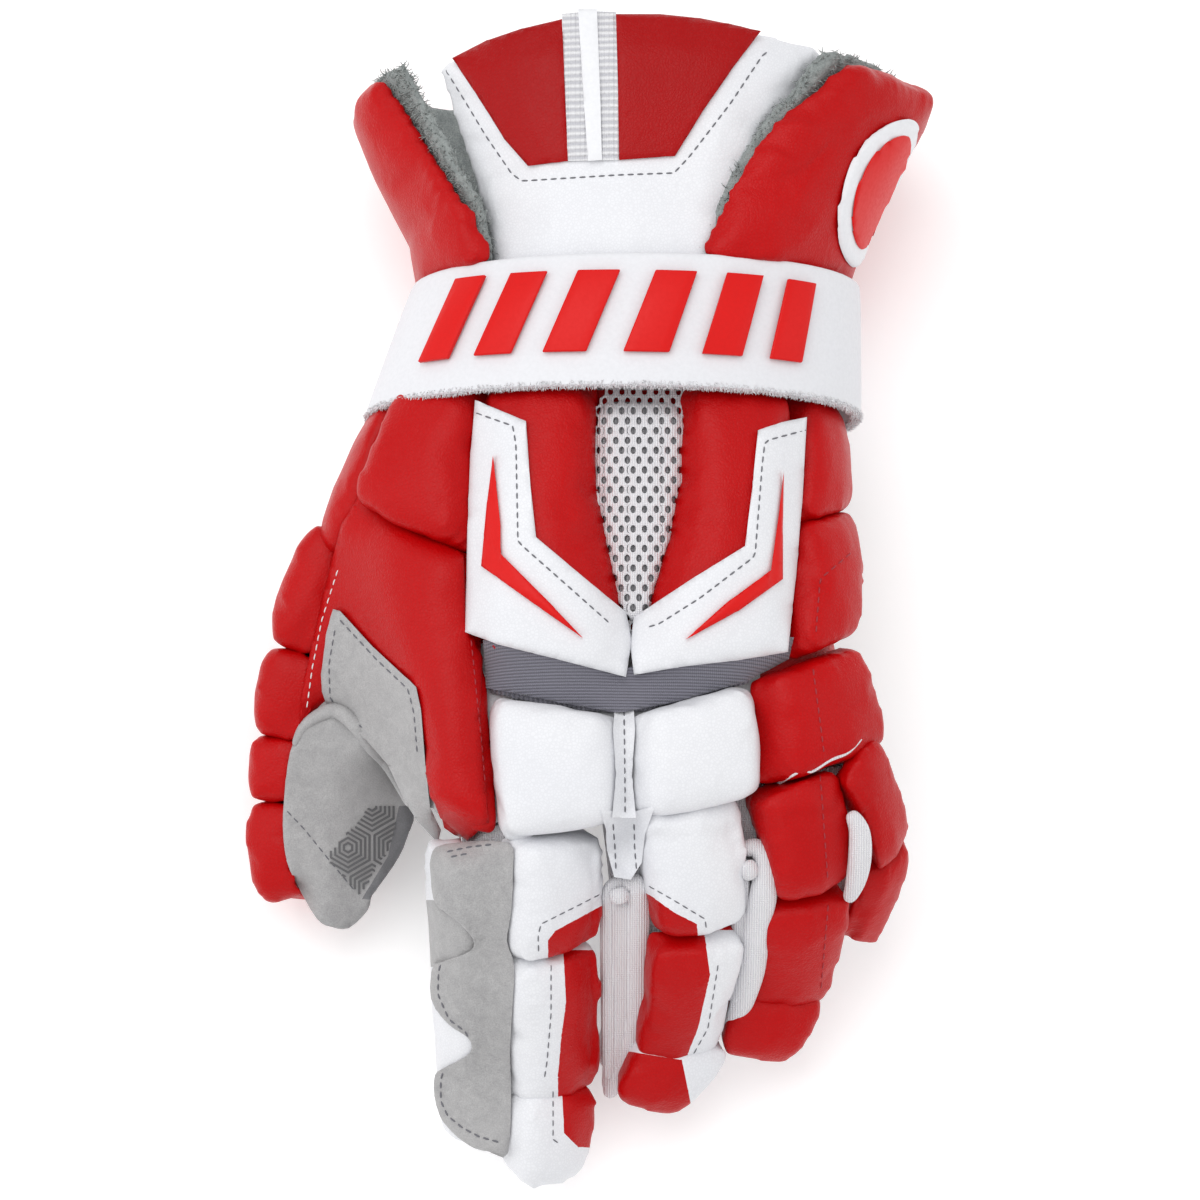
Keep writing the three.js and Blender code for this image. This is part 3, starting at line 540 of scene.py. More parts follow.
# Five pads are drawn up under the strap, from this line of the picture on.
STRAP_TUCK = 470
for node in ("back_pad_left", "back_pad_right", "side_pad_upper", "wrist_pad_left", "side_roll_left"):
    for vertex in pads[node].data.vertices:
        high = STRAP_TUCK - photo.dot_of(vertex.co)[1]
        if high > 0:
            vertex.co.y += high * 0.3 * photo.dot
fitted(pads["side_roll_left"], (410, 382, 407, 380, 398), (535, 341, 375, 322, 352))
fitted(pads["wrist_pad_left"], (410, 407, 466, 391, 466), (500, 388, 466, 358, 466))
fitted(pads["middle_roll_1"], (850, 618, 722, 634, 741), (940, 625, 723, 651, 742))
fitted(pads["middle_roll_2"], (950, 627, 720, 648, 738), (1054, 622, 709, 634, 713))
fitted(pads["middle_roll_3"], (1065, 605, 690, 624, 710), (1110, 602, 688, 610, 692))
fitted(pads["ring_roll_1"], (770, 730, 822, 758, 846), (900, 726, 831, 757, 849))
fitted(pads["ring_roll_2"], (910, 738, 831, 755, 849), (1010, 735, 818, 749, 831))
fitted(pads["ring_roll_3"], (1020, 720, 805, 730, 818), (1060, 716, 800, 722, 805))
fitted(pads["pinky_roll_1"], (740, 806, 890, 828, 893), (860, 813, 908, 862, 909))
fitted(pads["pinky_roll_2"], (860, 828, 910, 858, 908), (935, 830, 900, 848, 892))
for vertex in pads["index_roll_3"].data.vertices:
    low = photo.dot_of(vertex.co)[1] - 1105
    if low > 0:
        vertex.co.y -= low * 0.22 * photo.dot
piece_in(pads["index_roll_1"], red_leather,
         [(605, 904), (555, 931), (548, 941), (548, 985), (640, 985), (640, 885)])
piece_in(pads["middle_roll_1"], red_leather,
         [(651, 896), (675, 913), (697, 924), (701, 975), (630, 975), (630, 885)])
piece_in(pads["index_roll_2"], red_leather, [(563, 950), (564, 963), (566, 1002), (561, 1040), (558, 1075),
                                             (558, 1110), (640, 1110), (640, 950)])
piece_in(pads["middle_roll_2"], white_leather, [(704, 930), (760, 930), (745, 1085), (683, 1085), (685, 1061),
                                                (698, 1028), (710, 975)])
piece_in(pads["index_roll_3"], red_leather,
         [(562, 1080), (562, 1089), (564, 1133), (578, 1147), (640, 1150), (640, 1080)])
piece_in(pads["middle_roll_3"], red_leather,
         [(590, 1045), (682, 1060), (686, 1080), (700, 1150), (590, 1150)])


# The mesh window between the two long back pads: white spacer mesh with oval holes in staggered rows, over
# a grey backing, sewn in flat under the pads' inner edges.
mesh_backing = pads["mesh_backing"] = puffed("mesh_insert", "mesh_backing", hand_skin, swell=0.01, cap=0.001)
grey_backing = knit_finish("grey_backing", (0.34, 0.335, 0.35, 1), (0.2, 0.2, 0.21, 1))
dressed(mesh_backing, grey_backing, "mesh_fabric", "mesh_insert")

MESH_HOLE = dict(across=11.3, down=9.8, half_wide=2.5, half_high=3.7)
MESH_WINDOW = [(601, 392), (688, 392), (689, 415), (698, 440), (694, 500), (668, 575), (634, 640), (610, 590),
               (592, 520), (588, 450), (598, 415)]
CELL = ((0, -0.667), (0.5, -0.333), (0.5, 0.333), (0, 0.667), (-0.5, 0.333), (-0.5, -0.333))


def made_of(name, corners, faces):
    mesh = bpy.data.meshes.new(name)
    mesh.from_pydata(corners, [], faces)
    piece = bpy.data.objects.new(name, mesh)
    bpy.context.scene.collection.objects.link(piece)
    return piece


def facing_up(piece):
    if sum(face.normal.z for face in piece.data.polygons) < 0:
        edited(piece, bpy.ops.mesh.flip_normals)


def topmost(carriers):
    """What a line of sight meets first among the carriers."""
    bm = bmesh.new()
    for carrier in carriers:
        bm.from_mesh(carrier.data)
    tree = BVHTree.FromBMesh(bm)
    bm.free()
    return tree


def mesh_weave(name, outline, carriers, hole, lift, thick):
    """A sheet of six-cornered cells round oval holes, laid on the carriers."""
    top = topmost(carriers)
    corners = []
    faces = []
    places = {}

    def corner(x, y):
        key = (round(x, 1), round(y, 1))
        if key not in places:
            hit = top.ray_cast(photo.lens, photo.ray(x, y))
            places[key] = len(corners)
            point = hit[0] or photo.spot(x, y, top.find_nearest(photo.spot(x, y, 0.08))[0].z)
            corners.append(point + photo.towards * lift)
        return places[key]

    left, right = min(x for x, _ in outline), max(x for x, _ in outline)
    upper, lower = min(y for _, y in outline), max(y for _, y in outline)
    for row in range(int((lower - upper) / hole["down"]) + 1):
        for column in range(int((right - left) / hole["across"]) + 1):
            x = left + (column + 0.5 * (row % 2)) * hole["across"]
            y = upper + row * hole["down"]
            if not within(outline, x, y):
                continue
            outer = [(x + across * hole["across"], y + down * hole["down"]) for across, down in CELL]
            rim = []
            for turn in range(12):
                a, b = outer[turn // 2], outer[(turn // 2 + 1) % 6]
                rim.append(a if turn % 2 == 0 else ((a[0] + b[0]) / 2, (a[1] + b[1]) / 2))
            inner = [(x + hole["half_wide"] * math.sin(turn * math.pi / 6),
                      y - hole["half_high"] * math.cos(turn * math.pi / 6)) for turn in range(12)]
            for turn in range(12):
                after = (turn + 1) % 12
                quad = (rim[turn], inner[turn], inner[after], rim[after])
                faces.append(tuple(corner(*dot) for dot in quad))
    piece = made_of(name, corners, faces)
    piece.data.validate()
    edited(piece, bpy.ops.mesh.normals_make_consistent, inside=False)
    facing_up(piece)
    apply(piece, "SOLIDIFY", thickness=thick, offset=1)
    apply(piece, "SUBSURF", levels=1, render_levels=1)
    smoothed(piece)
    return piece


window = mesh_weave("mesh_window_weave", MESH_WINDOW, [mesh_backing], MESH_HOLE, 0.0006, 0.0007)
dressed(window, white_knit, "mesh_fabric")


# The grey flex band below the back pads: a ribbed elastic knit that lets the knuckles bend. It is sewn in
# along both edges, under the back pads and under the knuckle blocks.
band_knit = knit_finish("band_knit", (0.24, 0.235, 0.28, 1), (0.15, 0.148, 0.175, 1), 0.0013)
flex_band = puffed("flex_band", "flex_band_knit", hand_skin, swell=0.01, cap=0.001)
dressed(flex_band, band_knit, "ribbed_knit", "flex_band")
flex_rib = knit_finish("flex_rib", (0.215, 0.21, 0.255, 1), (0.12, 0.118, 0.145, 1), 0.0008, "X")


# The cuff: two red flaps that wrap round from the palm side, each lined with fleece, and a white guard over
# the wrist between them.
lining_skin = skin_of("lining_left", "lining_right", "hand_bag")
fleece_green = suede_finish("fleece", (0.40, 0.43, 0.42, 1), (0.16, 0.18, 0.18, 1), 0.0006)
for node in ("lining_left", "lining_right"):
    piece = copy_of(node, node + "_fleece")
    apply(piece, "REMESH", mode="VOXEL", voxel_size=0.0014, use_smooth_shade=True)
    pads[node] = dressed(piece, fleece_green, "fleece", node)
for node in ("cuff_flap_left", "cuff_flap_right"):
    pads[node] = pad(node, red_leather, "red_leather", lining_skin, cell=0.0018)
fitted(pads["cuff_flap_right"], (75, 850, 912, 850, 930), (200, 850, 905, 850, 906))
pads["wrist_guard"] = pad("wrist_guard", white_leather, "white_leather",
                          lambda vertex: vertex.normal.z < -0.2, cell=0.0018)


# The thread: twisted nylon, grey on white leather and dark red on red. Each stitch shows as a small spindle,
# laid end to end along the seam with a gap where the thread goes under.
def sew(name, carriers, finish, *lines, pitch=0.0027, dash=0.0018, thread=0.00024, slot="white_leather"):
    top = topmost(carriers)
    corners = []
    faces = []
    for line in lines:
        points = [photo.point(*dot) for dot in line]
        lengths = [(b - a).length for a, b in zip(points, points[1:])]
        total = sum(lengths)

        def along(distance):
            for (a, b), length in zip(zip(points, points[1:]), lengths):
                if distance <= length:
                    return a.lerp(b, distance / length)
                distance -= length
            return points[-1]

        for number in range(int(total / pitch)):
            ends = []
            for offset in (0, dash):
                hit = top.ray_cast(photo.lens, (along(number * pitch + offset) - photo.lens).normalized())
                if hit[0]:
                    ends.append((hit[0], hit[1]))
            if len(ends) < 2 or (ends[0][0] - ends[1][0]).length > 2.5 * dash:
                continue
            (first, up), (last, _) = ends
            axis = (last - first).normalized()
            side = axis.cross(up).normalized()
            over = side.cross(axis)
            base = len(corners)
            for share, width in ((0, 0.35), (0.18, 0.9), (0.5, 1.0), (0.82, 0.9), (1, 0.35)):
                middle = first.lerp(last, share) + over * thread * (0.45 - 0.9 * abs(share - 0.5))
                for turn in range(6):
                    angle = turn * math.pi / 3
                    out = side * math.cos(angle) + over * math.sin(angle)
                    corners.append(middle + out * thread * width)
            for ring in range(4):
                for turn in range(6):
                    a = base + ring * 6 + turn
                    b = base + ring * 6 + (turn + 1) % 6
                    faces.append((a, b, b + 6, a + 6))
            faces.append(tuple(base + turn for turn in reversed(range(6))))
            faces.append(tuple(base + 24 + turn for turn in range(6)))
    piece = made_of(name, corners, faces)
    edited(piece, bpy.ops.mesh.normals_make_consistent, inside=False)
    smoothed(piece)
    return dressed(piece, finish, slot)


def thread_finish(name, colour):
    finish, tree, shader = new_finish(name, 0.6)
    place = place_on_piece(tree)
    twist = noise(tree, place, 4000, 2, 0.5)
    base = mixed(tree, ranged(tree, twist, 0.3, 0.7, 0.0, 0.5), colour, shaded(colour, 0.6))
    tree.links.new(base, shader.inputs["Base Color"])
    raised(tree, shader, (twist, 0.00006))
    return finish


grey_thread = thread_finish("grey_thread", (0.16, 0.16, 0.18, 1))
red_thread = thread_finish("red_thread", (0.38, 0.02, 0.03, 1))
white_thread = thread_finish("white_thread", (0.85, 0.84, 0.84, 1))


# The suede side of the index finger, with a scalloped edge stitched in grey, and the web to the thumb. Both
# are light-grey suede, cut from one hide. The thumb's pad has a printed honeycomb for grip.
cut_flat = {}


def noted_cut(name, wide, high, plan, area, carriers):
    """Keep the size a sheet was cut to: its outline's box, let out by what it takes to go over the pads."""
    slack = math.sqrt(area / plan)
    wide, high = wide * slack, high * slack
    if area < 0.35 * wide * high:
        wide, high = min(wide, high), max(wide, high)
        wide = area / (0.8 * high)
    cut_flat[name] = ((wide, high), area, [carrier.name for carrier in carriers])


MARGIN = 1.03


def laid(name, outline, carriers, thick, lift=0.0003, cell=0.0016, bridge=40, sewn=8, rim=0.6, sight=photo):
    """A sheet cut to an outline of the picture, laid on the carriers and sewn down round its rim."""
    xs = [x for x, _ in outline]
    ys = [y for _, y in outline]
    wide = (max(xs) - min(xs)) * sight.dot * MARGIN
    high = (max(ys) - min(ys)) * sight.dot * MARGIN
    bpy.ops.object.select_all(action="DESELECT")
    bpy.ops.mesh.primitive_grid_add(x_subdivisions=max(2, round(wide / cell)),
                                    y_subdivisions=max(2, round(high / cell)), size=1)
    piece = added(name)
    turn = Matrix((sight.right, sight.up, sight.towards)).transposed().to_4x4()
    middle = sight.point((max(xs) + min(xs)) / 2, (max(ys) + min(ys)) / 2)
    piece.matrix_world = Matrix.Translation(middle) @ turn @ Matrix.Diagonal((wide, high, 1, 1))
    settle(piece)
    cut_along(piece, outline, 2.5 * cell / sight.dot, sight)
    bm = bmesh.new()
    bm.from_mesh(piece.data)
    outside = [face for face in bm.faces if not within(outline, *sight.dot_of(face.calc_center_median()))]
    bmesh.ops.delete(bm, geom=outside, context="FACES")
    bmesh.ops.remove_doubles(bm, verts=bm.verts, dist=0.00008)
    plan = sum(face.calc_area() for face in bm.faces)
    top = topmost(carriers)
    rays = {}
    depth = {}
    for vertex in bm.verts:
        ray = (vertex.co - sight.lens).normalized()
        rays[vertex] = ray
        hit = top.ray_cast(sight.lens, ray)
        depth[vertex] = hit[3] - lift if hit[0] else None
    known = [d for d in depth.values() if d is not None]
    typical = sum(known) / len(known)
    for vertex in bm.verts:
        if depth[vertex] is None:
            others = [depth[e.other_vert(vertex)] for e in vertex.link_edges]
            around = [d for d in others if d]
            guess = sight.lens + rays[vertex] * (sum(around) / len(around) if around else typical)
            depth[vertex] = (top.find_nearest(guess)[0] - sight.lens).dot(rays[vertex]) - lift
    resting = dict(depth)
    rim_of = {}
    beside = {}
    for vertex in bm.verts:
        rim_of[vertex] = [e.other_vert(vertex) for e in vertex.link_edges if e.is_boundary]
        beside[vertex] = rim_of[vertex] or [e.other_vert(vertex) for e in vertex.link_edges]
    for step in range(bridge):
        eased = dict(depth)
        for vertex, around in beside.items():
            if not rim_of[vertex] or step < sewn:
                eased[vertex] = min(resting[vertex], sum(depth[other] for other in around) / len(around))
        depth = eased
    for _ in range(3):
        calm = {}
        for vertex, around in beside.items():
            calm[vertex] = sum(depth[other] for other in around) / len(around)
        depth = calm
    for vertex in bm.verts:
        vertex.co = sight.lens + rays[vertex] * depth[vertex]
    area = sum(face.calc_area() for face in bm.faces)
    noted_cut(name, wide / MARGIN, high / MARGIN, plan, area, carriers)
    under = set(bm.verts)
    made = bmesh.ops.extrude_face_region(bm, geom=list(bm.faces), use_keep_orig=True)["geom"]
    for vertex in [item for item in made if isinstance(item, bmesh.types.BMVert)]:
        edge = any(e.other_vert(vertex) in under for e in vertex.link_edges)
        vertex.co -= (vertex.co - sight.lens).normalized() * thick * (rim if edge else 1)
    bmesh.ops.recalc_face_normals(bm, faces=bm.faces)
    bm.to_mesh(piece.data)
    bm.free()
    smoothed(piece, 60)
    return piece


CLOTHS = ("white_leather", "red_leather", "suede", "ribbed_knit", "red_overlay", "webbing", "mesh_fabric")


def sewn_on(piece, finish, slot, *replaced):
    dressed(piece, finish, slot, *replaced)
    if piece.name in cut_flat and slot in CLOTHS and min(cut_flat[piece.name][0]) > 0.01:
        flat, area, under = cut_flat[piece.name]
        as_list(under)
    return piece


side_suede = suede_finish("side_suede", (0.46, 0.455, 0.455, 1), (0.33, 0.325, 0.33, 1))
for node, finish in (("index_side_pad", white_leather), ("thumb_web", side_suede)):
    pads[node] = pad(node, finish, "suede", fill=0.4, swell=0.006, cap=0.0012, spread=0.0006)
piece_in(pads["index_side_pad"], side_suede, [(425, 900), (476, 900), (476, 967), (425, 967)], above=0.03)
SIDE_PATCH = [(507, 842), (513, 868), (511, 912), (507, 941), (514, 965), (512, 1014), (510, 1050),
              (511, 1087), (508, 1153), (490, 1152), (468, 1145), (444, 1123), (435, 1099), (435, 1075),
              (446, 1067), (470, 1053), (468, 1038), (448, 1024), (431, 999), (433, 965), (444, 961),
              (470, 951), (473, 939), (458, 922), (436, 905), (431, 881), (431, 856), (445, 844)]
SIDE_STITCHES = [(471, 934), (471, 944), (465, 950), (445, 958), (439, 968), (438, 994), (449, 1019),
                 (467, 1033), (472, 1050), (447, 1066), (441, 1076), (441, 1101), (448, 1116), (463, 1128),
                 (480, 1137), (505, 1144)]
finger_side = those("index_side_pad", "index_roll_1", "index_roll_2", "index_roll_3")
side_patch = laid("index_side_suede", curved(SIDE_PATCH), finger_side, 0.0011, lift=0.0006, bridge=25)
sewn_on(side_patch, side_suede, "suede")
sew("index_side_stitches", [side_patch], grey_thread, SIDE_STITCHES, [(447, 852), (470, 847), (503, 843)],
    [(451, 857), (476, 852)], slot="suede", thread=0.0003)


def rolled(name, finish, slot, path, on=None, sides=12):
    """A soft round roll along a path of (picture x, picture y, height in mm, radius in mm)."""
    knots = []
    for x, y, height, radius in path:
        place = on.ray_cast(photo.lens, photo.ray(x, y))[0] if on else photo.spot(x, y, height / 1000)
        knots.append((place, radius / 1000))
    if on:
        levels = [place.z for place, _ in knots]
        for number in range(1, len(knots) - 1):
            knots[number][0].z = sum(levels[number - 1:number + 2]) / 3
    steps = []
    for number in range(len(knots) - 1):
        last = min(number + 2, len(knots) - 1)
        around = [knots[max(number - 1, 0)], knots[number], knots[number + 1], knots[last]]
        for part in range(6):
            weights = spline_weights(part / 6)
            middle = sum((knot[0] * weight for knot, weight in zip(around, weights)), Vector())
            steps.append((middle, sum(knot[1] * weight for knot, weight in zip(around, weights))))
    steps.append(knots[-1])
    bm = bmesh.new()
    rings = []
    for number, (middle, radius) in enumerate(steps):
        ahead = (steps[min(number + 1, len(steps) - 1)][0] - steps[max(number - 1, 0)][0]).normalized()
        side = ahead.cross(photo.towards).normalized()
        over = side.cross(ahead)
        end = min(number, len(steps) - 1 - number)
        radius *= (0.55, 0.88, 1.0)[min(end, 2)]
        rings.append([bm.verts.new(middle + (side * math.cos(turn * math.tau / sides)
                                             + over * math.sin(turn * math.tau / sides)) * radius)
                      for turn in range(sides)])
    for first, second in zip(rings, rings[1:]):
        for turn in range(sides):
            bm.faces.new((first[turn], first[(turn + 1) % sides], second[(turn + 1) % sides], second[turn]))
    bm.faces.new(rings[0])
    bm.faces.new(rings[-1])
    bmesh.ops.recalc_face_normals(bm, faces=bm.faces)
    piece = made_of(name, [], [])
    bm.to_mesh(piece.data)
    bm.free()
    apply(piece, "SUBSURF", levels=1, render_levels=1)
    smoothed(piece)
    sewn_on(piece, finish, slot)
    return piece


WEB_PATCH = [(333, 609), (340, 611), (372, 646), (416, 687), (421, 710), (425, 761), (430, 807), (441, 830),
             (438, 843), (418, 822), (405, 802), (388, 765), (366, 740), (345, 722), (329, 712), (322, 692),
             (321, 676), (326, 634)]
PANEL_FACE = [(341, 525), (360, 494), (382, 503), (464, 554), (467, 620), (483, 658), (480, 715), (489, 822),
              (467, 841), (440, 818), (428, 785), (421, 750), (380, 745), (345, 722), (318, 730), (299, 728),
              (304, 680), (313, 640), (322, 600), (332, 560)]
panel_under = those("thumb_web", "hand_panel_left", "side_roll_left", "thumb_roll_1", "thumb_roll_2") + [bag]
panel_face = laid("hand_panel_left_face", PANEL_FACE, panel_under, 0.0016, lift=0.0002, bridge=110, rim=0.4)
sewn_on(panel_face, red_leather, "red_leather")
web_patch = laid("thumb_web_suede", WEB_PATCH, [panel_face, pads["thumb_web"], bag], 0.0011, lift=0.0007,
                 bridge=30)
sewn_on(web_patch, side_suede, "suede")
sew("thumb_web_stitches", [web_patch], grey_thread,
    [(340, 620), (377, 660), (408, 689), (414, 712), (418, 760)],
    [(335, 630), (329, 664), (330, 699), (345, 714), (368, 732)], slot="suede")
sew("hand_panel_left_stitches", [panel_face], white_thread,
    [(338, 570), (322, 620), (312, 670), (305, 720)], slot="red_leather", thread=0.0002)

THUMB_FACE = [(284, 800), (287, 770), (292, 747), (306, 722), (333, 710), (354, 724), (370, 742), (386, 765),
              (400, 790), (414, 814), (408, 835), (400, 855), (385, 878), (372, 896), (368, 910), (349, 928),
              (331, 927), (317, 919), (300, 890), (287, 862), (283, 830)]
thumb_under = those("thumb_roll_2", "thumb_roll_3", "thumb_roll_4", "thumb_web") + [thumb_cloth]
thumb_face = laid("thumb_suede_face", curved(THUMB_FACE), thumb_under, 0.0012, bridge=60, rim=0.4)
sewn_on(thumb_face, side_suede, "suede")
edge_grey = suede_finish("edge_grey", (0.25, 0.25, 0.26, 1), (0.17, 0.17, 0.18, 1), 0.00004)
piece_in(thumb_face, edge_grey, [(399, 806), (425, 806), (403, 857), (375, 900), (362, 899), (388, 856)])
rolled("thumb_suede_lip", side_suede, "suede",
       [(294, 746, 0, 1.0), (306, 724, 0, 1.7), (333, 711, 0, 2.2), (354, 724, 0, 2.3), (370, 742, 0, 2.1),
        (386, 765, 0, 1.8), (398, 787, 0, 1.4), (409, 806, 0, 0.9)], on=topmost([thumb_face, web_patch]))


def honeycomb(name, outline, carriers, finish, slot, pitch=48, rings=(6.0, 11.0, 16.0, 21.0, 26.0),
              line=2.4):
    """Nested six-cornered bands printed on the carriers inside an outline."""
    top = topmost(carriers)
    corners = []
    faces = []
    xs = [x for x, _ in outline]
    ys = [y for _, y in outline]
    rows = int((max(ys) - min(ys)) / (pitch * 0.866)) + 2
    for row in range(rows):
        for column in range(int((max(xs) - min(xs)) / pitch) + 2):
            x = min(xs) + (column + 0.5 * (row % 2)) * pitch
            y = min(ys) + row * pitch * 0.866
            for radius in rings:
                for turn in range(6):
                    for part in range(6):
                        dots = []
                        for reach, share in ((radius, part / 6), (radius, (part + 1) / 6),
                                             (radius - line, (part + 1) / 6), (radius - line, part / 6)):
                            a = math.pi / 3 * turn
                            b = math.pi / 3 * (turn + 1)
                            dots.append((x + reach * (math.sin(a) * (1 - share) + math.sin(b) * share),
                                         y + reach * (math.cos(a) * (1 - share) + math.cos(b) * share)))
                        hits = [top.ray_cast(photo.lens, photo.ray(*dot)) for dot in dots]
                        if all(within(outline, *dot) for dot in dots) and all(hit[0] for hit in hits):
                            base = len(corners)
                            corners += [hit[0] + photo.towards * 0.0002 for hit in hits]
                            faces.append((base, base + 1, base + 2, base + 3))
    piece = made_of(name, corners, faces)
    edited(piece, bpy.ops.mesh.remove_doubles, threshold=0.00003)
    facing_up(piece)
    apply(piece, "SOLIDIFY", thickness=0.00015, offset=1)
    return sewn_on(piece, finish, slot)


def rubber_finish(name, colour, roughness=0.42):
    finish, tree, shader = new_finish(name, roughness)
    place = place_on_piece(tree)
    mottled = noise(tree, place, 900, 3, 0.6)
    base = mixed(tree, ranged(tree, mottled, 0.35, 0.7, 0.0, 0.25), colour, shaded(colour, 0.82))
    tree.links.new(base, shader.inputs["Base Color"])
    gloss = ranged(tree, mottled, 0.3, 0.7, roughness - 0.05, roughness + 0.08)
    tree.links.new(gloss, shader.inputs["Roughness"])
    shader.inputs["Specular IOR Level"].default_value = 0.2
    raised(tree, shader, (mottled, 0.00003))
    return finish


grip_ink = rubber_finish("grip_ink", (0.15, 0.15, 0.155, 1), 0.6)
GRIP = [(369, 806), (396, 806), (401, 822), (384, 862), (359, 897), (324, 857), (340, 838)]
honeycomb("thumb_grip_print", GRIP, [thumb_face], grip_ink, "palm_leather")
sew("thumb_seam_stitches", [thumb_face], grey_thread, [(287, 811), (305, 830), (329, 860), (359, 896)],
    slot="palm_leather", thread=0.00018)


# The gussets between the fingers: white knit folded over a soft cord, so that each shows as a rolled edge
# that starts in a fold at the knuckles and runs down between two fingers.
GUSSETS = {
    "index_middle_broad": [(622, 884, 61, 2.2), (634, 884, 61, 3.2), (638, 900, 58, 3.7),
                           (637, 940, 50, 3.8), (636, 1000, 37, 3.6), (628, 1045, 27, 3.4),
                           (616, 1078, 20, 3.0), (608, 1096, 16, 2.0)],
    "index_middle_narrow": [(626, 881, 61, 2.0), (612, 888, 60, 2.4), (608, 905, 57, 2.2),
                            (608, 950, 48, 2.3), (609, 1010, 36, 2.4), (609, 1050, 27, 2.2),
                            (609, 1078, 22, 1.5)],
    "index_middle_fold": [(617, 888, 62, 2.2), (619, 895, 62, 2.9), (621, 902, 61, 2.4)],
    "index_middle_back": [(622, 892, 58, 4.4), (622, 940, 48, 4.8), (621, 1000, 35, 4.8),
                          (617, 1060, 22, 4.2), (611, 1092, 16, 3.0)],
    "middle_ring_broad": [(741, 850, 63, 2.2), (756, 848, 63, 2.8), (766, 862, 62, 3.4),
                          (764, 890, 59, 4.0), (757, 925, 52, 4.2), (752, 965, 43, 4.2),
                          (741, 1005, 33, 3.4), (726, 1040, 24, 2.2)],
    "middle_ring_narrow": [(743, 858, 62, 2.2), (741, 890, 58, 2.4), (739, 930, 50, 2.4),
                           (737, 965, 42, 2.4), (731, 1000, 33, 2.0)],
    "middle_ring_fold": [(745, 862, 64, 2.2), (748, 869, 64, 2.9), (750, 876, 62, 2.3)],
    "ring_pinky": [(850, 812, 66, 1.8), (859, 830, 64, 3.0), (860, 855, 61, 3.4), (856, 880, 56, 3.0),
                   (848, 901, 51, 1.8)],
}
for name, path in GUSSETS.items():
    rolled("gusset_" + name, white_knit, "knit", path)


# The chevrons: white leather arrows sewn over the ends of the back pads with grey thread. Each carries a
# spear of moulded red rubber. The knit of the flex band is drawn tight under their points.
red_rubber = rubber_finish("red_rubber", (0.66, 0.006, 0.005, 1))
white_rubber = rubber_finish("white_rubber", (0.80, 0.805, 0.83, 1), 0.5)
FLEX_RIB = [(483, 640), (560, 650), (626, 668), (690, 655), (785, 638), (794, 637), (789, 659), (748, 681),
            (700, 695), (675, 702), (619, 713), (567, 704), (486, 688)]
flex_cover = laid("flex_band_rib", FLEX_RIB, [flex_band] + those("back_pad_left", "back_pad_right") + [bag],
                  0.0008, lift=0.0009, sewn=25, rim=0.7)
sewn_on(flex_cover, flex_rib, "ribbed_knit")
hand_pads = those("back_pad_left", "back_pad_right", "mesh_backing", "side_pad_upper", "side_pad_lower",
                  "hand_panel_left", "wrist_pad_left") + [flex_band, flex_cover]
CHEVRONS = {
    "left": dict(
        outline=[(475, 400), (526, 421), (530, 480), (536, 537), (580, 574), (626, 612), (632, 640),
                 (626, 677), (560, 660), (500, 645), (465, 632), (466, 590), (467, 540), (470, 460)],
        stitches=[(476, 413), (513, 426), (516, 446), (518, 542), (570, 588), (616, 629)],
        spear=[(493, 455), (500, 520), (501, 554), (545, 598), (583, 638), (540, 608), (481, 566),
               (486, 510)],
    ),
    "right": dict(
        outline=[(807, 417), (803, 490), (797, 566), (788, 652), (740, 660), (680, 667), (634, 675),
                 (630, 645), (634, 617), (690, 580), (745, 546), (752, 490), (758, 430), (782, 422)],
        stitches=[(806, 430), (765, 441), (762, 466), (755, 556), (700, 598), (659, 624), (637, 630)],
        spear=[(784, 470), (783, 520), (783, 579), (740, 610), (685, 640), (725, 604), (771, 570),
               (778, 520)],
    ),
}
for side, form in CHEVRONS.items():
    chevron = laid(f"chevron_{side}_leather", form["outline"], hand_pads, 0.0022)
    sewn_on(chevron, white_leather, "white_leather", f"chevron_{side}")
    spear = laid(f"spear_{side}_moulding", form["spear"], [chevron], 0.0012, cell=0.0012)
    sewn_on(spear, red_rubber, "red_rubber", f"spear_{side}")
    sew(f"chevron_{side}_stitches", [chevron], grey_thread, form["stitches"])


# The seams of the hand: a puckered white strip between the two knuckle blocks, a shorter one between the
# first two finger rolls, and rows of thread on the pads where the leather is sewn down.
knuckles = [pads["knuckle_pad_index"], pads["knuckle_pad_middle"], bag]
KNUCKLE_SEAM = [(616, 692), (633, 692), (635, 730), (632, 775), (636, 818), (612, 818), (616, 775),
                (613, 730)]
FINGER_SEAM = [(600, 808), (625, 814), (655, 806), (645, 835), (642, 862), (631, 880), (614, 877), (607, 850),
               (606, 830)]
seam_strip = laid("knuckle_seam_strip", KNUCKLE_SEAM, knuckles, 0.0009, lift=0.0012, bridge=8, cell=0.001)
sewn_on(seam_strip, white_leather, "white_leather")
seam_lower = laid("finger_seam_strip", FINGER_SEAM,
                  those("index_roll_1", "middle_roll_1", "knuckle_pad_index", "knuckle_pad_middle"),
                  0.0008, bridge=4, cell=0.001)
sewn_on(seam_lower, white_leather, "white_leather")
sew("knuckle_seam_stitches", [seam_strip, seam_lower], grey_thread, [(624, 700), (625, 816)],
    [(613, 824), (615, 850), (616, 874)], [(634, 824), (635, 850), (637, 874)])
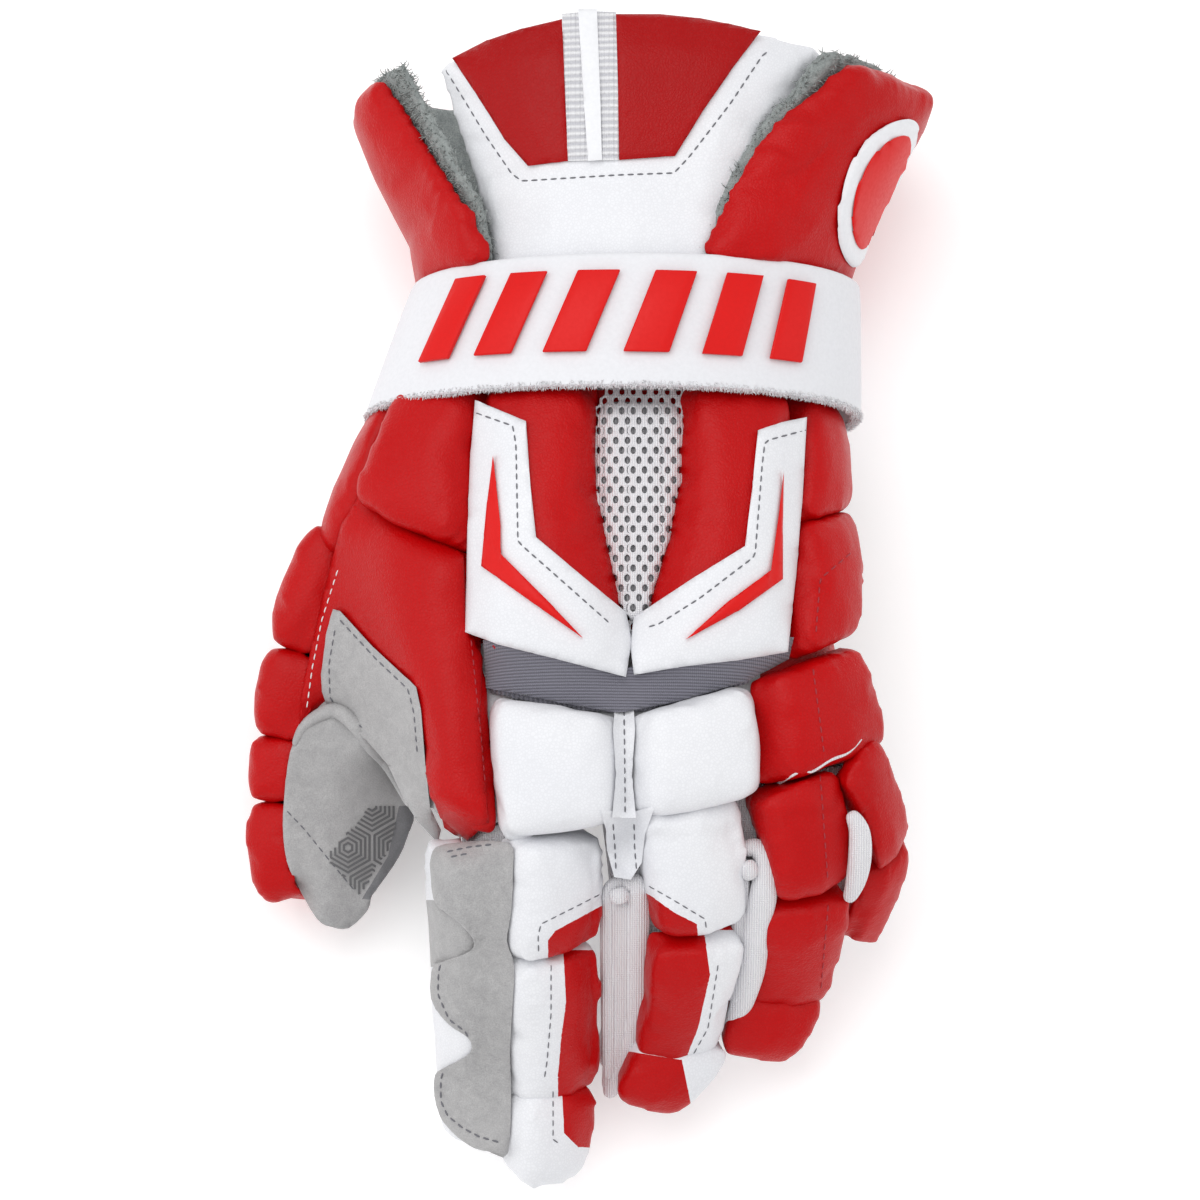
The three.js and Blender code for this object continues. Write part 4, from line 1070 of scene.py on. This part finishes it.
sew("finger_stitches", those("index_roll_1", "index_roll_2", "index_roll_3", "middle_roll_1", "middle_roll_2",
                             "knuckle_pad_index"), grey_thread,
    [(608, 890), (579, 905), (541, 924), (538, 936), (539, 961)],
    [(551, 965), (551, 1014), (547, 1062), (543, 1087)],
    [(553, 1091), (553, 1118), (553, 1140), (565, 1147)], [(649, 886), (675, 901), (705, 919), (708, 942)],
    [(718, 965), (708, 1028), (690, 1060)], thread=0.0002)
sew("red_seam_stitches", those("knuckle_pad_ring", "ring_roll_1", "ring_roll_2", "side_pad_lower",
                               "hand_panel_left", "side_roll_left", "wrist_pad_left"), red_thread,
    [(813, 669), (825, 761)], [(820, 775), (828, 885)], [(828, 905), (820, 1000)],
    [(816, 632), (820, 579), (859, 546)], slot="red_leather")
sew("hand_panel_seam_stitches", [panel_face], red_thread, [(471, 640), (476, 690), (481, 740), (485, 785)],
    slot="red_leather")
rolled("ring_seam_edge", white_knit, "knit",
       [(757, 784, 0, 0.3), (776, 780, 0, 0.5), (790, 777, 0, 0.35), (803, 769, 0, 0.5), (812, 772, 0, 0.35),
        (830, 760, 0, 0.5), (848, 753, 0, 0.35), (862, 739, 0, 0.3)],
       on=topmost(those("knuckle_pad_ring", "ring_roll_1", "pinky_roll_1") + [bag]))


# The guard's trimmings: two red panels, a white webbing down the middle with a smooth strip over it, and a
# row of stitches along the white trim.
guard = [pads["wrist_guard"]]
white_webbing = knit_finish("white_webbing", (0.80, 0.80, 0.82, 1), (0.56, 0.56, 0.60, 1), 0.0019, "X")
GUARD = {
    "guard_panel_left": [(452, 58), (485, 41), (520, 29), (562, 19), (565, 90), (568, 161), (528, 166),
                         (505, 140), (480, 100)],
    "guard_panel_right": [(616, 14), (660, 14), (700, 18), (730, 24), (761, 31), (735, 65), (705, 108),
                          (675, 156), (619, 160), (618, 90)],
}
guard_red = leather_finish("guard_red", (0.38, 0.001, 0.002, 1), (0.30, 0.0005, 0.001, 1))
for node, outline in GUARD.items():
    sewn_on(laid(node + "_leather", outline, guard, 0.0011), guard_red, "red_overlay", node)
webbing = laid("guard_webbing_weave",
               [(562, 14), (590, 11), (616, 12), (618, 90), (619, 160), (568, 161), (565, 90)], guard, 0.0011)
sewn_on(webbing, white_webbing, "webbing", "guard_webbing")
strip = laid("guard_strip", [(578, 9), (597, 9), (600, 90), (602, 160), (588, 161), (583, 90)], [webbing],
             0.0007)
sewn_on(strip, white_rubber, "webbing_band", "guard_webbing_band")
sew("guard_stitches", guard, grey_thread,
    [(446, 70), (462, 96), (486, 136), (512, 174), (522, 181), (570, 178), (618, 175), (674, 173), (690, 156),
     (730, 104), (762, 56), (772, 48)])


# The strap: a matt white moulded band round the neck of the cuff, with plain raised red bars, and the round
# badge on the right flap, a white ring with a plain red disc.
def softened(node, name, bevel):
    """A moulded piece with its sharp corners rounded off."""
    piece = copy_of(node, name)
    squared(piece)
    apply(piece, "BEVEL", width=bevel, segments=2, limit_method="ANGLE", angle_limit=math.radians(40))
    smoothed(piece, 45)
    return piece


def fur(host, name, finish, slot, count, length, where, lean=Vector((0, 0, 0)), seed=3):
    """Short bent tufts of pile, scattered over the faces of the host that pass a test."""
    draw = random.Random(seed)
    mesh = host.data
    mesh.calc_loop_triangles()
    spots = []
    reach = []
    total = 0.0
    for triangle in mesh.loop_triangles:
        if where(sum((mesh.vertices[v].co for v in triangle.vertices), Vector()) / 3):
            spots.append(triangle)
            total += triangle.area
            reach.append(total)
    corners = []
    faces = []
    for _ in range(count):
        triangle = spots[min(bisect.bisect_left(reach, draw.random() * total), len(spots) - 1)]
        a, b = sorted((draw.random(), draw.random()))
        first, second, third = (mesh.vertices[v].co for v in triangle.vertices)
        root = first * a + second * (b - a) + third * (1 - b)
        wild = Vector((draw.uniform(-1, 1), draw.uniform(-1, 1), draw.uniform(-1, 1)))
        ahead = (triangle.normal + wild * 0.75 + lean).normalized()
        bend = (ahead + wild * 0.9).normalized()
        side = ahead.cross(wild).normalized()
        over = side.cross(ahead)
        long = length * draw.uniform(0.6, 1.15)
        base = len(corners)
        for middle, width in ((root - ahead * 0.0002, 0.00016), (root + ahead * long * 0.5, 0.00013)):
            for turn in range(3):
                angle = turn * math.tau / 3
                corners.append(middle + (side * math.cos(angle) + over * math.sin(angle)) * width)
        corners.append(root + ahead * long * 0.5 + bend * long * 0.5)
        for turn in range(3):
            after = (turn + 1) % 3
            faces.append((base + turn, base + after, base + 3 + after, base + 3 + turn))
            faces.append((base + 3 + turn, base + 3 + after, base + 6))
        faces.append((base + 2, base + 1, base))
    piece = made_of(name, corners, faces)
    smoothed(piece)
    return sewn_on(piece, finish, slot)


strap_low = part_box("wrist_strap")[0].y
white_fleece = thread_finish("white_fleece", (0.9, 0.9, 0.92, 1))
green_fleece = thread_finish("green_fleece", (0.36, 0.39, 0.38, 1))
for side, seed in (("left", 5), ("right", 6)):
    fur(pads[f"lining_{side}"], f"lining_{side}_pile", green_fleece, "fleece", 6200, 0.0026,
        lambda place: place.y > 0.05 and place.z > 0.035, seed=seed)

strap_vinyl = rubber_finish("strap_vinyl", (0.75, 0.755, 0.785, 1), 0.5)
strap = sewn_on(softened("wrist_strap", "wrist_strap_band", bevel=0.0011), strap_vinyl, "strap_material",
                "wrist_strap")
apply(strap, "SUBSURF", levels=1, render_levels=1)
fur(strap, "strap_fleece_edge", white_fleece, "strap_material", 3200, 0.0012,
    lambda place: place.y < strap_low + 0.0012 and place.z > 0.03, lean=Vector((0, -0.9, 0)))
for number in range(1, 7):
    bar = softened(f"strap_bar_{number}", f"strap_bar_{number}_raised", bevel=0.0004)
    sewn_on(bar, red_rubber, "red_rubber", f"strap_bar_{number}")


def disc(radius, count=40):
    return [(radius * math.sin(turn * math.tau / count), radius * math.cos(turn * math.tau / count))
            for turn in range(count)]


badge_low, badge_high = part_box("badge_ring")
badge_middle = (badge_low + badge_high) / 2 + Vector((0.0035, 0.0035, 0))
badge_flap = those("cuff_flap_right")
badge_out = topmost(badge_flap).find_nearest(badge_middle)[1]
badge_out = Vector((badge_out.x, 0.12, badge_out.z)).normalized()
badge_right = Vector((0, 1, 0)).cross(badge_out).normalized()
badge_sight = Sight(badge_middle, badge_right, badge_out.cross(badge_right), 1.0, 0.001, (0, 0))
badge_base = laid("badge_ring_moulding", disc(19), badge_flap, 0.0013, bridge=25, sight=badge_sight)
sewn_on(badge_base, white_rubber, "white_rubber", "badge_ring")
badge_disc = laid("badge_centre_moulding", disc(14.6), [badge_base], 0.0005, lift=0.0001, bridge=2,
                  sight=badge_sight)
sewn_on(badge_disc, red_rubber, "red_rubber", "badge_centre")


boxes = {"cad": cad_box, "visual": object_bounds()}
{key: [list(corner) for corner in box] for key, box in boxes.items()}
